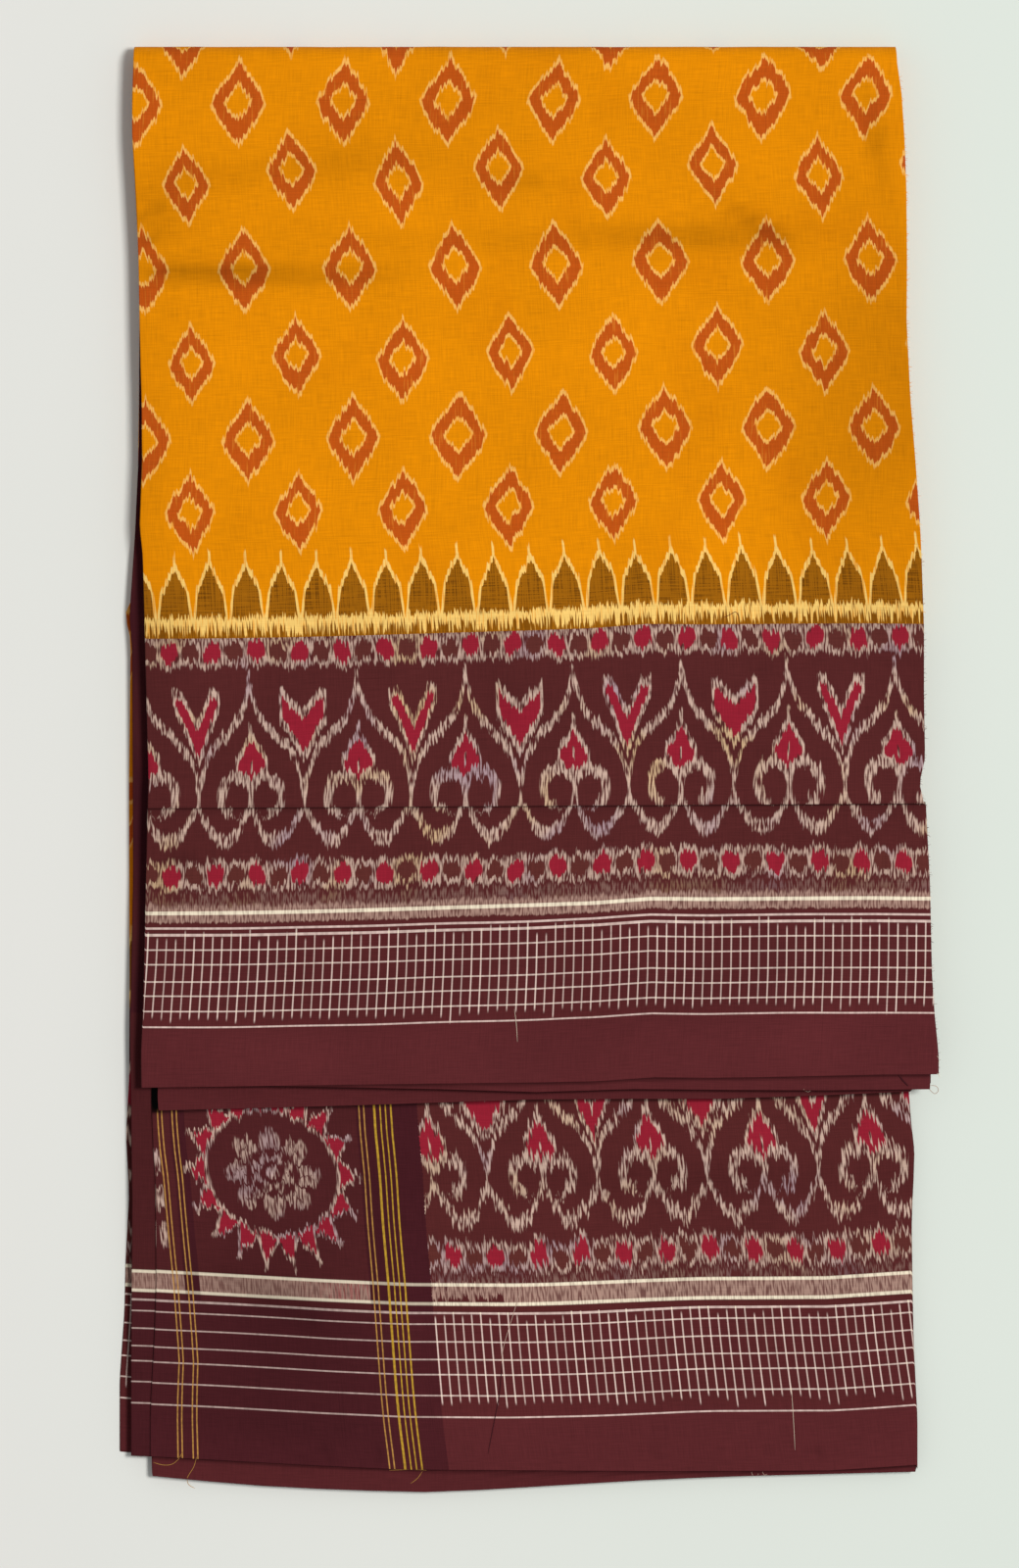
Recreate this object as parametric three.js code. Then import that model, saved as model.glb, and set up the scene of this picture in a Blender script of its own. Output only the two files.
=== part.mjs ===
// A cotton saree folded for keeping. Fifteen passes of one long cloth lie on one another, and the bundle
// is folded once across its middle. It lies flat, its top fold towards +Y and its left edge towards -X.
// Millimetres, +Z up, origin on the surface under the middle of the bundle.
//
// Every piece is a layer of the folded bundle. A layer runs from its front selvedge up to the top fold,
// round the fold and down the back half. Its depth is measured outwards from the slot between the
// halves, so one formula places every layer and the layers nest at any depth.

import * as THREE from "three";

// ---------------------------------------------------------------- driving sizes

const SLOT_HEIGHT = 8.2; // height of the slot between the back half and the front half
const TOP_REACH = 336.7; // how far the top fold reaches towards +Y
const FOLD_LINE = TOP_REACH - SLOT_HEIGHT; // centre line that the layers turn round
const SEAM = 0.3; // air between neighbouring pieces
const CLOTH_WALL = 1.05; // wall of a single layer
const OUTER_WALL = 1.2; // wall of the outermost layer
const EDGE_ROUND = 0.5; // how far a layer's edge bulges
const RIDGE = 0.8; // how far a hidden pass stands out at the bundle's edges
const HIDDEN_RIDGES = 3; // ridges that stand for the hidden passes' folded edges
const TURN_STEPS = 8; // flats round the top fold
const LONGEST_STEP = 34; // longest facet down a layer

const MANGO = 0xec9806;
const MAROON = 0x5a1f28;
const PALLU_MAROON = 0x481622;

// Depths of the layers, from the slot outwards.
const INNERMOST = { inner: SEAM / 2, outer: SEAM / 2 + CLOTH_WALL };
const SECOND = { inner: INNERMOST.outer + SEAM, outer: INNERMOST.outer + SEAM + CLOTH_WALL };
const THIRD = { inner: SECOND.outer + SEAM, outer: SECOND.outer + SEAM + CLOTH_WALL };
const OUTERMOST = { inner: SLOT_HEIGHT - OUTER_WALL, outer: SLOT_HEIGHT };
const NEXT_OUTERMOST = {
  inner: OUTERMOST.inner - SEAM - CLOTH_WALL,
  outer: OUTERMOST.inner - SEAM,
};
const HIDDEN_FRONT = { inner: SECOND.inner, outer: NEXT_OUTERMOST.inner - SEAM };
const HIDDEN_BACK = { inner: THIRD.outer + SEAM, outer: OUTERMOST.inner - SEAM };

// ---------------------------------------------------------------- side edges, read down each stretch

const OUTER_EDGES = [
  { y: 328.5, left: -182.9, right: 170.6 },
  { y: 320.0, left: -183.4, right: 172.3 },
  { y: 294.0, left: -183.6, right: 174.0 },
  { y: 270.0, left: -182.3, right: 174.9 },
  { y: 237.0, left: -181.0, right: 175.2 },
  { y: 208.0, left: -180.2, right: 175.0 },
  { y: 172.0, left: -179.0, right: 176.8 },
  { y: 145.0, left: -179.0, right: 179.0 },
  { y: 113.0, left: -180.4, right: 181.3 },
  { y: 100.0, left: -179.0, right: 181.9 },
  { y: 66.0, left: -177.8, right: 183.1 },
  { y: 34.0, left: -176.8, right: 183.1 },
  { y: 5.5, left: -176.2, right: 183.6 },
  { y: -5.9, left: -176.1, right: 180.9 },
  { y: -16.4, left: -176.5, right: 184.0 },
  { y: -20.5, left: -176.8, right: 184.2 },
  { y: -53.0, left: -177.5, right: 185.9 },
  { y: -94.0, left: -177.9, right: 186.8 },
  { y: -114.0, left: -178.5, right: 188.1 },
  { y: -132.0, left: -179.4, right: 189.9 },
  { y: -147.0, left: -180.0, right: 189.9 },
];

const SECOND_FRONT_EDGES = [
  { y: 327.0, left: -180.5, right: 167.5 },
  { y: 250.0, left: -179.5, right: 172.5 },
  { y: 172.0, left: -177.5, right: 174.5 },
  { y: 100.0, left: -177.0, right: 179.0 },
  { y: 40.0, left: -175.0, right: 180.5 },
  { y: -6.0, left: -174.5, right: 179.0 },
  { y: -53.0, left: -175.5, right: 183.5 },
  { y: -100.0, left: -176.5, right: 185.0 },
  { y: -147.0, left: -178.0, right: 187.2 },
];

const THIRD_FRONT_EDGES = [
  { y: 327.0, left: -178.5, right: 166.0 },
  { y: 250.0, left: -178.0, right: 171.0 },
  { y: 172.0, left: -175.5, right: 173.0 },
  { y: 100.0, left: -175.0, right: 177.0 },
  { y: 40.0, left: -173.0, right: 178.0 },
  { y: -20.0, left: -172.5, right: 178.0 },
  { y: -80.0, left: -172.0, right: 178.5 },
  { y: -130.0, left: -171.9, right: 178.0 },
  { y: -147.0, left: -171.8, right: 177.0 },
];

const INNER_EDGES = [
  { y: 327.0, left: -178.5, right: 166.0 },
  { y: 250.0, left: -178.0, right: 171.0 },
  { y: 172.0, left: -176.5, right: 174.0 },
  { y: 100.0, left: -176.5, right: 176.0 },
  { y: 30.0, left: -175.5, right: 177.0 },
  { y: -50.0, left: -175.0, right: 176.5 },
  { y: -110.0, left: -175.0, right: 176.0 },
  { y: -155.0, left: -174.9, right: 176.5 },
  { y: -177.0, left: -174.0, right: 179.0 },
  { y: -190.0, left: -173.1, right: 178.6 },
  { y: -209.0, left: -172.9, right: 177.7 },
  { y: -239.0, left: -172.7, right: 178.1 },
  { y: -265.0, left: -173.6, right: 178.6 },
  { y: -290.0, left: -175.0, right: 179.8 },
  { y: -301.0, left: -175.4, right: 180.4 },
  { y: -318.0, left: -175.9, right: 179.2 },
];

const SECOND_BACK_EDGES = [
  { y: 327.0, left: -178.0, right: 166.0 },
  { y: 200.0, left: -176.5, right: 172.5 },
  { y: 80.0, left: -175.5, right: 175.5 },
  { y: -40.0, left: -174.5, right: 175.5 },
  { y: -150.0, left: -174.0, right: 175.5 },
  { y: -240.0, left: -172.0, right: 177.0 },
  { y: -300.0, left: -174.8, right: 179.0 },
  { y: -320.0, left: -175.6, right: 176.8 },
];

const PALLU_EDGES = [
  { y: 327.0, left: -179.0, right: 165.0 },
  { y: 240.0, left: -180.5, right: 171.0 },
  { y: 150.0, left: -180.9, right: 173.5 },
  { y: 110.0, left: -182.7, right: 174.5 },
  { y: 72.0, left: -185.3, right: 175.0 },
  { y: 55.0, left: -184.0, right: 175.0 },
  { y: -50.0, left: -183.6, right: 175.0 },
  { y: -120.0, left: -185.0, right: 175.0 },
  { y: -200.0, left: -184.0, right: 175.5 },
  { y: -279.0, left: -184.5, right: 177.0 },
  { y: -305.0, left: -185.4, right: 178.0 },
];

const UNDER_EDGES = [
  { y: 328.2, left: -182.5, right: 169.5 },
  { y: 207.0, left: -180.5, right: 173.5 },
  { y: 103.0, left: -182.0, right: 176.0 },
  { y: 79.0, left: -184.6, right: 176.0 },
  { y: 72.5, left: -187.6, right: 176.0 },
  { y: 61.0, left: -184.9, right: 176.0 },
  { y: -6.0, left: -185.6, right: 176.0 },
  { y: -97.0, left: -185.4, right: 175.0 },
  { y: -143.0, left: -185.6, right: 175.0 },
  { y: -170.0, left: -187.0, right: 176.5 },
  { y: -198.0, left: -185.6, right: 177.0 },
  { y: -229.0, left: -187.2, right: 177.0 },
  { y: -252.0, left: -187.7, right: 177.5 },
  { y: -284.0, left: -189.9, right: 178.0 },
  { y: -302.0, left: -189.9, right: 178.5 },
  { y: -316.0, left: -189.2, right: 177.5 },
];

const HIDDEN_FRONT_EDGES = [
  { y: 328.5, left: -180.5, right: 167.5 },
  { y: 250.0, left: -179.0, right: 172.0 },
  { y: 172.0, left: -177.0, right: 174.0 },
  { y: 100.0, left: -176.5, right: 178.5 },
  { y: 40.0, left: -174.5, right: 180.0 },
  { y: -20.0, left: -174.5, right: 180.5 },
  { y: -80.0, left: -175.0, right: 182.5 },
  { y: -146.0, left: -176.5, right: 184.0 },
];

const HIDDEN_BACK_EDGES = [
  { y: 328.5, left: -180.5, right: 167.5 },
  { y: 250.0, left: -179.5, right: 171.0 },
  { y: 172.0, left: -179.5, right: 173.0 },
  { y: 90.0, left: -182.0, right: 174.5 },
  { y: 0.0, left: -183.0, right: 174.5 },
  { y: -90.0, left: -183.5, right: 174.0 },
  { y: -180.0, left: -183.0, right: 175.5 },
  { y: -250.0, left: -182.5, right: 175.5 },
  { y: -314.0, left: -184.0, right: 175.5 },
];

// ---------------------------------------------------------------- selvedges, read across from the left

const OUTER_SELVEDGE = [
  { across: 0, y: -147.4 },
  { across: 0.34, y: -145.6 },
  { across: 0.56, y: -144.7 },
  { across: 0.65, y: -142.4 },
  { across: 0.73, y: -142.9 },
  { across: 0.95, y: -141.1 },
  { across: 1, y: -141.1 },
];

const SECOND_FRONT_SELVEDGE = [
  { across: 0, y: -145.6 },
  { across: 0.4, y: -148.2 },
  { across: 0.52, y: -149.7 },
  { across: 0.65, y: -147.6 },
  { across: 0.8, y: -148.9 },
  { across: 1, y: -148.1 },
];

const THIRD_FRONT_SELVEDGE = [
  { across: 0, y: -158.3 },
  { across: 0.24, y: -156.1 },
  { across: 0.52, y: -152.9 },
  { across: 0.78, y: -152.8 },
  { across: 1, y: -149.4 },
];

const INNER_SELVEDGE = [
  { across: 0, y: -319.2 },
  { across: 0.31, y: -325.3 },
  { across: 0.7, y: -326.2 },
  { across: 0.97, y: -325.6 },
  { across: 1, y: -323.2 },
];

const SECOND_BACK_SELVEDGE = [
  { across: 0, y: -328.5 },
  { across: 0.14, y: -333.2 },
  { across: 0.32, y: -336.2 },
  { across: 0.41, y: -336.0 },
  { across: 0.54, y: -332.4 },
  { across: 0.72, y: -329.0 },
  { across: 1, y: -326.5 },
];

const PALLU_SELVEDGE = [
  { across: 0, y: -319.0 },
  { across: 0.06, y: -319.4 },
  { across: 0.2, y: -322.0 },
  { across: 1, y: -322.0 },
];

const UNDER_SELVEDGE = [
  { across: 0, y: -317.6 },
  { across: 0.1, y: -320.5 },
  { across: 0.3, y: -329.0 },
  { across: 0.6, y: -326.0 },
  { across: 1, y: -322.0 },
];

const HIDDEN_FRONT_SELVEDGE = [
  { across: 0, y: -147.0 },
  { across: 1, y: -144.5 },
];

const HIDDEN_BACK_SELVEDGE = [
  { across: 0, y: -318.0 },
  { across: 0.3, y: -327.0 },
  { across: 1, y: -323.0 },
];

// ---------------------------------------------------------------- lie of the cloth

// Soft hollows (negative) and swells of the front half: centre, reach each way and height.
const FRONT_SWELLS = [
  { x: -150, y: 222, reachX: 60, reachY: 50, height: -0.6 },
  { x: -20, y: 238, reachX: 90, reachY: 60, height: 0.35 },
  { x: 110, y: 150, reachX: 70, reachY: 60, height: 0.4 },
  { x: -60, y: 60, reachX: 80, reachY: 55, height: 0.3 },
  { x: 60, y: -80, reachX: 90, reachY: 55, height: -0.3 },
  { x: -120, y: -65, reachX: 70, reachY: 55, height: 0.3 },
];

// The same for the slot, and so for the top of the back half.
const SLOT_SWELLS = [
  { x: -90, y: -230, reachX: 70, reachY: 60, height: 0.3 },
  { x: 60, y: -250, reachX: 80, reachY: 60, height: -0.3 },
  { x: 150, y: -190, reachX: 60, reachY: 60, height: 0.2 },
  { x: 0, y: 120, reachX: 120, reachY: 90, height: 0.3 },
];

// The slack of the outer panel lies in one tuck across it. The cloth rises over TUCK.rise towards the
// tuck's line and falls again within TUCK.drop below it. The tuck is lowest at the left edge and highest
// at the right one, and its line climbs by TUCK.tilt on the way.
const TUCK = { line: -17.5, tilt: 2.3, rise: 24, drop: 4.1, leftHeight: 0.35, rightHeight: 0.85 };
const SETTLE_REACH = 45; // the swells die away over this length next to the top fold

// ---------------------------------------------------------------- helpers

/** Value of a column between the two rows on either side of a place, held level past the ends. */
function readTable(rows, key, place, column) {
  const next = rows.findIndex((row) => row[key] >= place);
  if (next === 0) return rows[0][column];
  if (next < 0) return rows[rows.length - 1][column];
  const before = rows[next - 1];
  const share = (place - before[key]) / (rows[next][key] - before[key]);
  return THREE.MathUtils.lerp(before[column], rows[next][column], share);
}

/** Height of a set of soft swells at a point. */
function swellHeight(swells, x, y) {
  let height = 0;
  for (const swell of swells) {
    const along = (x - swell.x) / swell.reachX;
    const up = (y - swell.y) / swell.reachY;
    height += swell.height * Math.exp(-(along * along + up * up));
  }
  return height;
}

/** Height of the outer panel's tuck: it rises towards the tuck line and drops just below it. */
function tuckHeight(across, y) {
  const distance = y - TUCK.line - TUCK.tilt * across;
  const height = THREE.MathUtils.lerp(TUCK.leftHeight, TUCK.rightHeight, across);
  const run = distance >= 0 ? TUCK.rise : TUCK.drop;
  return height * (1 - THREE.MathUtils.smoothstep(Math.abs(distance), 0, run));
}

/** The rows of an edge table, with rows added between those that lie more than a step apart. */
function closeRows(edges) {
  const rows = [edges[0]];
  for (let index = 1; index < edges.length; index += 1) {
    const [from, to] = [edges[index - 1], edges[index]];
    const steps = Math.ceil((from.y - to.y) / LONGEST_STEP);
    for (let step = 1; step <= steps; step += 1) {
      const share = step / steps;
      rows.push({
        y: THREE.MathUtils.lerp(from.y, to.y, share),
        left: THREE.MathUtils.lerp(from.left, to.left, share),
        right: THREE.MathUtils.lerp(from.right, to.right, share),
      });
    }
  }
  return rows;
}

/** The places down a straight stretch. The last one follows the selvedge. */
function straightStations(edges, selvedge, half) {
  const rows = closeRows(edges);
  return rows.map((row, index) => {
    const last = index === rows.length - 1;
    return {
      half,
      angle: half === "front" ? 0 : Math.PI,
      left: row.left,
      right: row.right,
      y: (across) => (last ? readTable(selvedge, "across", across, "y") : row.y),
      selvedge: last,
    };
  });
}

/** The places round the top fold, whose edges run from the front half's to the back half's. */
function turnStations(from, to) {
  const stations = [];
  for (let step = 1; step <= TURN_STEPS; step += 1) {
    const share = step / TURN_STEPS;
    stations.push({
      half: "turn",
      angle: Math.PI * share,
      left: THREE.MathUtils.lerp(from.left, to.left, share),
      right: THREE.MathUtils.lerp(from.right, to.right, share),
      y: () => FOLD_LINE,
      selvedge: false,
    });
  }
  return stations;
}

/** Point of the folded bundle at a share across a place, at a depth from the slot. */
function bundlePoint(station, across, depth, push, tucked) {
  const x = THREE.MathUtils.lerp(station.left, station.right, across) + push.x;
  const along = station.y(across) + push.y;
  const point = new THREE.Vector3(
    x,
    along + depth * Math.sin(station.angle),
    SLOT_HEIGHT + depth * Math.cos(station.angle),
  );
  if (station.half === "turn") return point;
  const settle = THREE.MathUtils.smoothstep(FOLD_LINE - along, 0, SETTLE_REACH);
  const share = depth / SLOT_HEIGHT;
  const slot = settle * swellHeight(SLOT_SWELLS, x, along);
  if (station.half === "back") {
    point.z += slot * (1 - share);
    return point;
  }
  point.z += slot + settle * share * swellHeight(FRONT_SWELLS, x, along);
  if (tucked) point.z += tuckHeight(across, along);
  return point;
}

/** Closed skin of a block of cells: across (i), through the thickness (j) and along the layer (k). */
function blockSkin(cells, place) {
  const index = new Map();
  const positions = [];
  const triangles = [];
  const vertex = (i, j, k) => {
    const key = `${i},${j},${k}`;
    if (!index.has(key)) {
      index.set(key, index.size);
      positions.push(...place(i, j, k).toArray());
    }
    return index.get(key);
  };
  const quad = (a, b, c, d) => triangles.push(a, b, c, a, c, d);
  // A pair of opposite sides: `at` turns a side's own two steps and its end of the block into a vertex.
  const sides = (firstSteps, secondSteps, lastStep, at) => {
    for (let p = 0; p < firstSteps; p += 1) {
      for (let q = 0; q < secondSteps; q += 1) {
        quad(at(p, q, lastStep), at(p + 1, q, lastStep), at(p + 1, q + 1, lastStep), at(p, q + 1, lastStep));
        quad(at(p, q, 0), at(p, q + 1, 0), at(p + 1, q + 1, 0), at(p + 1, q, 0));
      }
    }
  };
  sides(cells.across, cells.along, cells.through, (i, k, j) => vertex(i, j, k)); // outer and inner face
  sides(cells.along, cells.through, cells.across, (k, j, i) => vertex(i, j, k)); // right and left edge
  sides(cells.through, cells.across, cells.along, (j, i, k) => vertex(i, j, k)); // the two ends
  const geometry = new THREE.BufferGeometry();
  geometry.setAttribute("position", new THREE.Float32BufferAttribute(positions, 3));
  geometry.setIndex(triangles);
  geometry.computeVertexNormals();
  return geometry;
}

/** One layer of the bundle as a mesh. Its edge has one bulge for each ridge. */
function layerMesh({ name, color, stations, depthAt, columns, ridges = 1, bulge = EDGE_ROUND, tucked }) {
  const through = ridges * 2;
  const along = stations.length - 1;
  const place = (i, j, k) => {
    const station = stations[k];
    const { inner, outer } = depthAt(station);
    const depth = THREE.MathUtils.lerp(inner, outer, j / through);
    const crest = j % 2 === 1 ? bulge : 0;
    const side = i === 0 ? -1 : Number(i === columns);
    const end = station.selvedge ? -1 : 0;
    return bundlePoint(station, i / columns, depth, { x: crest * side, y: crest * end }, tucked);
  };
  const geometry = blockSkin({ across: columns, through, along }, place);
  const material = new THREE.MeshStandardMaterial({ color, roughness: 0.9, metalness: 0 });
  const mesh = new THREE.Mesh(geometry, material);
  mesh.name = name;
  return mesh;
}

/** Stations of a layer of the front half, from its selvedge up to the fold. */
function frontStations(edges, selvedge) {
  return straightStations(edges, selvedge, "front").reverse();
}

/** Stations of a layer of the back half, from the fold down to its selvedge. */
function backStations(edges, selvedge) {
  return straightStations(edges, selvedge, "back");
}

// ---------------------------------------------------------------- the pieces

/** Front of the outermost pass and its turn over the top fold. */
function makeOuterPanel() {
  const front = frontStations(OUTER_EDGES, OUTER_SELVEDGE);
  return layerMesh({
    name: "outer_panel",
    color: MANGO,
    stations: [...front, ...turnStations(OUTER_EDGES[0], UNDER_EDGES[0])],
    depthAt: () => OUTERMOST,
    columns: 14,
    tucked: true,
  });
}

/** The same pass on the underside, flat on the surface that the bundle lies on. */
function makeUnderPanel() {
  return layerMesh({
    name: "under_panel",
    color: MANGO,
    stations: backStations(UNDER_EDGES, UNDER_SELVEDGE),
    depthAt: () => OUTERMOST,
    columns: 6,
  });
}

/** Second pass of the front half, whose selvedge shows below the outer panel. */
function makeSecondFrontLayer() {
  return layerMesh({
    name: "front_layer_2",
    color: MAROON,
    stations: frontStations(SECOND_FRONT_EDGES, SECOND_FRONT_SELVEDGE),
    depthAt: () => NEXT_OUTERMOST,
    columns: 8,
  });
}

/** Innermost pass of the front half, whose selvedge lies on the inner panel. */
function makeThirdFrontLayer() {
  return layerMesh({
    name: "front_layer_3",
    color: MAROON,
    stations: frontStations(THIRD_FRONT_EDGES, THIRD_FRONT_SELVEDGE),
    depthAt: () => INNERMOST,
    columns: 8,
  });
}

/** Innermost pass of the back half, which shows below the front half. */
function makeInnerPanel() {
  return layerMesh({
    name: "inner_panel",
    color: MAROON,
    stations: backStations(INNER_EDGES, INNER_SELVEDGE),
    depthAt: () => INNERMOST,
    columns: 9,
  });
}

/** The end piece's pass, which shows as a strip at the left. */
function makePalluLayer() {
  return layerMesh({
    name: "pallu_layer",
    color: PALLU_MAROON,
    stations: backStations(PALLU_EDGES, PALLU_SELVEDGE),
    depthAt: () => SECOND,
    columns: 5,
  });
}

/** The pass whose selvedge shows below the inner panel's own. */
function makeSecondBackLayer() {
  return layerMesh({
    name: "inner_layer_2",
    color: MAROON,
    stations: backStations(SECOND_BACK_EDGES, SECOND_BACK_SELVEDGE),
    depthAt: () => THIRD,
    columns: 8,
  });
}

/** All the passes between, as one rounded body that goes over the top fold, ridged like stacked folds. */
function makeHiddenLayers() {
  const turnTo = (station) => {
    const share = station.angle / Math.PI;
    return {
      inner: THREE.MathUtils.lerp(HIDDEN_FRONT.inner, HIDDEN_BACK.inner, share),
      outer: THREE.MathUtils.lerp(HIDDEN_FRONT.outer, HIDDEN_BACK.outer, Math.sqrt(share)),
    };
  };
  const back = backStations(HIDDEN_BACK_EDGES, HIDDEN_BACK_SELVEDGE);
  return layerMesh({
    name: "hidden_layers",
    color: MAROON,
    stations: [
      ...frontStations(HIDDEN_FRONT_EDGES, HIDDEN_FRONT_SELVEDGE),
      ...turnStations(HIDDEN_FRONT_EDGES[0], HIDDEN_BACK_EDGES[0]),
      ...back.slice(1),
    ],
    depthAt: turnTo,
    columns: 6,
    ridges: HIDDEN_RIDGES,
    bulge: RIDGE,
  });
}

const saree = new THREE.Group();
saree.name = "folded_saree";
saree.add(
  makeUnderPanel(),
  makeHiddenLayers(),
  makeSecondBackLayer(),
  makePalluLayer(),
  makeInnerPanel(),
  makeThirdFrontLayer(),
  makeSecondFrontLayer(),
  makeOuterPanel(),
);

export default saree;
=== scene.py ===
"""A cotton saree, folded end over end into fifteen passes and then once across, lying on a pale table.

The cloth is one length, 5.4 m along the warp and 1.149 m from selvedge to selvedge. Every mesh starts as
a flat grid of that cloth, keeps its flat place as its UV map (metres along, metres across) and is moved
into the bundle by one fold formula. The dyed pattern is worked out from the flat place, so it runs on
unbroken through every fold. Sizes named in millimetres are multiplied by MM.
"""

import logging
import math
import random
from dataclasses import dataclass, field
from enum import Enum
from typing import Callable, Iterable, Sequence, Union

import bmesh
import bpy
import numpy as np
from bpy.types import ID, Material, Node, NodeSocket, NodeTree, Object
from mathutils import Matrix, Vector, noise
from mathutils.geometry import interpolate_bezier


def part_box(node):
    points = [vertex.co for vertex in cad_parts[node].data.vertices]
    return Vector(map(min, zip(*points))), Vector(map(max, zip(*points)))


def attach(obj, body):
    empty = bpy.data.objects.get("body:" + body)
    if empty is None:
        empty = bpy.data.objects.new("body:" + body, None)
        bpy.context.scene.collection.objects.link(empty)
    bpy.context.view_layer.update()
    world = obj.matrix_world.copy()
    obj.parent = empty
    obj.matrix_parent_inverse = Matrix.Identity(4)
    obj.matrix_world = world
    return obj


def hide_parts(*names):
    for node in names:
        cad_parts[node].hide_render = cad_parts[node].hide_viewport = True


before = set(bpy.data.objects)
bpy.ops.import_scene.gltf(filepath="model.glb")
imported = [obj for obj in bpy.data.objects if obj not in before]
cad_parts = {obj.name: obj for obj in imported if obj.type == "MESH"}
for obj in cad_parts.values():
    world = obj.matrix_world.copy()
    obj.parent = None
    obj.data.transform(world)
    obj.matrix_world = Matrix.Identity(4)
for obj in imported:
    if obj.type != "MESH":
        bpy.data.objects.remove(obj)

LOG = logging.getLogger("saree")
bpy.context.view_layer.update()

MM = 0.001
CLOTH_MAP = "cloth"
# Mesh attribute of painted shade, which the cloth materials multiply into their colour.
PAINTED_SHADE = "painted_shade"

# ---- the cloth and how it is folded

PASS_LENGTH = 360 * MM
CLOTH_WIDTH = 1149 * MM
CLOTH_WALL = 0.3 * MM
FIRST_DEPTH = 0.27 * MM  # depth of the innermost pass, from the slot between the halves
PASS_PITCH = 0.547 * MM  # depth from one pass to the next
# Passes in the order in which the cloth runs through them, named by how deep they lie. The pallu's end
# starts two passes out, comes back to the middle, and the rest is wound round those three.
PASS_ORDER = (2, 1, 0, 3, 4, 5, 6, 7, 8, 9, 10, 11, 12, 13, 14)
OUTERMOST = max(PASS_ORDER)

SLOT_HEIGHT = 8.2 * MM
TOP_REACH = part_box("outer_panel")[1].y
FOLD_LINE = TOP_REACH - SLOT_HEIGHT

# Distances across the cloth from the nearer selvedge at which one zone of the design meets the next.
BAND_TOP = 76.4 * MM
BORDER_TOP = 209.3 * MM

# Distances from the selvedge of the last rows below the top fold.
FRONT_REACH = 462 * MM
BACK_REACH = 640 * MM
SELVEDGE_EASE = 28 * MM  # the design reaches its full shift at this distance from a selvedge


class Half(Enum):
    """Halves of the bundle, on either side of the slot."""

    FRONT = 1
    BACK = -1


class Side(Enum):
    """Side edges of the bundle."""

    LEFT = -1
    RIGHT = 1


class Zone(Enum):
    """Zones of the design from the front selvedge to the back one, numbered as the material slots are."""

    FRONT_BAND = 0
    FRONT_BORDER = 1
    BODY = 2
    BACK_BORDER = 3
    BACK_BAND = 4


def smooth(value: float, start: float, end: float) -> float:
    """Share from 0 at start to 1 at end, eased at both ends."""
    share = min(max((value - start) / (end - start), 0.0), 1.0)
    return share * share * (3 - 2 * share)


def mix(start: float, end: float, share: float) -> float:
    """Value a share of the way from start to end."""
    return start + (end - start) * share


@dataclass(frozen=True)
class Outline:
    """Side edges and selvedge of one stretch of cloth, read from the solid that stands for it."""

    heights: np.ndarray
    lefts: np.ndarray
    rights: np.ndarray
    hem_shares: np.ndarray
    hem_heights: np.ndarray

    @classmethod
    def of_node(cls, node: str, half: Half) -> "Outline":
        """Reads a solid's rows of vertices.

        Args:
            node: name of the solid.
            half: half of the bundle to read, where the solid goes over the fold.

        Returns:
            The outline of the stretch.
        """
        full_row = 7  # a row right across a solid has at least this many places, its selvedge fewer
        clearance = 1 * MM
        rows: dict[float, set[float]] = {}
        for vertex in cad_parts[node].data.vertices:
            x, y, z = vertex.co
            if (z - SLOT_HEIGHT) * half.value > -clearance and y < FOLD_LINE + CLOTH_WALL:
                rows.setdefault(round(y, 5), set()).add(round(x, 5))
        whole = sorted(y for y, places in rows.items() if len(places) >= full_row)
        lefts = np.array([min(rows[y]) for y in whole])
        rights = np.array([max(rows[y]) for y in whole])
        hem: dict[float, float] = {}
        for y, places in rows.items():
            if len(places) < full_row:
                for x in places:
                    hem[x] = max(y, hem.get(x, y))
        corners = sorted(hem)[1:-1]
        span = corners[-1] - corners[0]
        shares = np.array([(x - corners[0]) / span for x in corners])
        return cls(np.array(whole), lefts, rights, shares, np.array([hem[x] for x in corners]))

    def edge(self, side: Side, y: float) -> float:
        """Place of a side edge at a height up the sheet."""
        return float(np.interp(y, self.heights, self.lefts if side is Side.LEFT else self.rights))

    def hem(self, across: float) -> float:
        """Height of the selvedge at a share across the stretch."""
        return float(np.interp(across, self.hem_shares, self.hem_heights))


@dataclass(frozen=True)
class EdgeLine:
    """One side edge of a pass: the outlines it follows and how far inside them it lies."""

    front: str
    back: str
    inset_front: float = 0.0
    inset_back: float = 0.0


@dataclass(frozen=True)
class Swell:
    """A soft swell of the cloth in millimetres, or a dip where its height is negative; in the painted shade
    tables its height is a share of painted shade instead.
    """

    x: float
    y: float
    reach_x: float
    reach_y: float
    height: float

    def at(self, x: float, y: float) -> float:
        """Height of the swell at a place in metres."""
        along, up = (x / MM - self.x) / self.reach_x, (y / MM - self.y) / self.reach_y
        return self.height * math.exp(-(along * along + up * up))


@dataclass(frozen=True)
class Crease:
    """A soft ridge between two places, in millimetres, or a trough where its height is negative; in the
    painted shade tables its height is a share of painted shade instead.
    """

    start: tuple[float, float]
    end: tuple[float, float]
    width: float
    height: float

    def at(self, x: float, y: float) -> float:
        """Height of the crease at a place in metres."""
        tip = 0.02  # share of its length over which it runs out
        start, end, here = Vector(self.start), Vector(self.end), Vector((x / MM, y / MM))
        run = end - start
        share = (here - start).dot(run) / run.length_squared
        nearest = start + run * min(max(share, 0.0), 1.0)
        away = (here - nearest).length / self.width
        taper = math.sin(math.pi * min(max(share, tip), 1 - tip)) ** 0.5
        return self.height * taper * math.exp(-away * away)


def total(forms: Iterable[Union[Swell, Crease]], x: float, y: float) -> float:
    """Sum of several swells and creases at a place in metres."""
    return sum(form.at(x, y) for form in forms)


@dataclass(frozen=True)
class Fold:
    """A place on the tuck's small fold, by its woven distance above the tuck's line."""

    woven: float
    place: float  # how far above the line it lies
    rise: float  # share of the tuck's height


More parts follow.
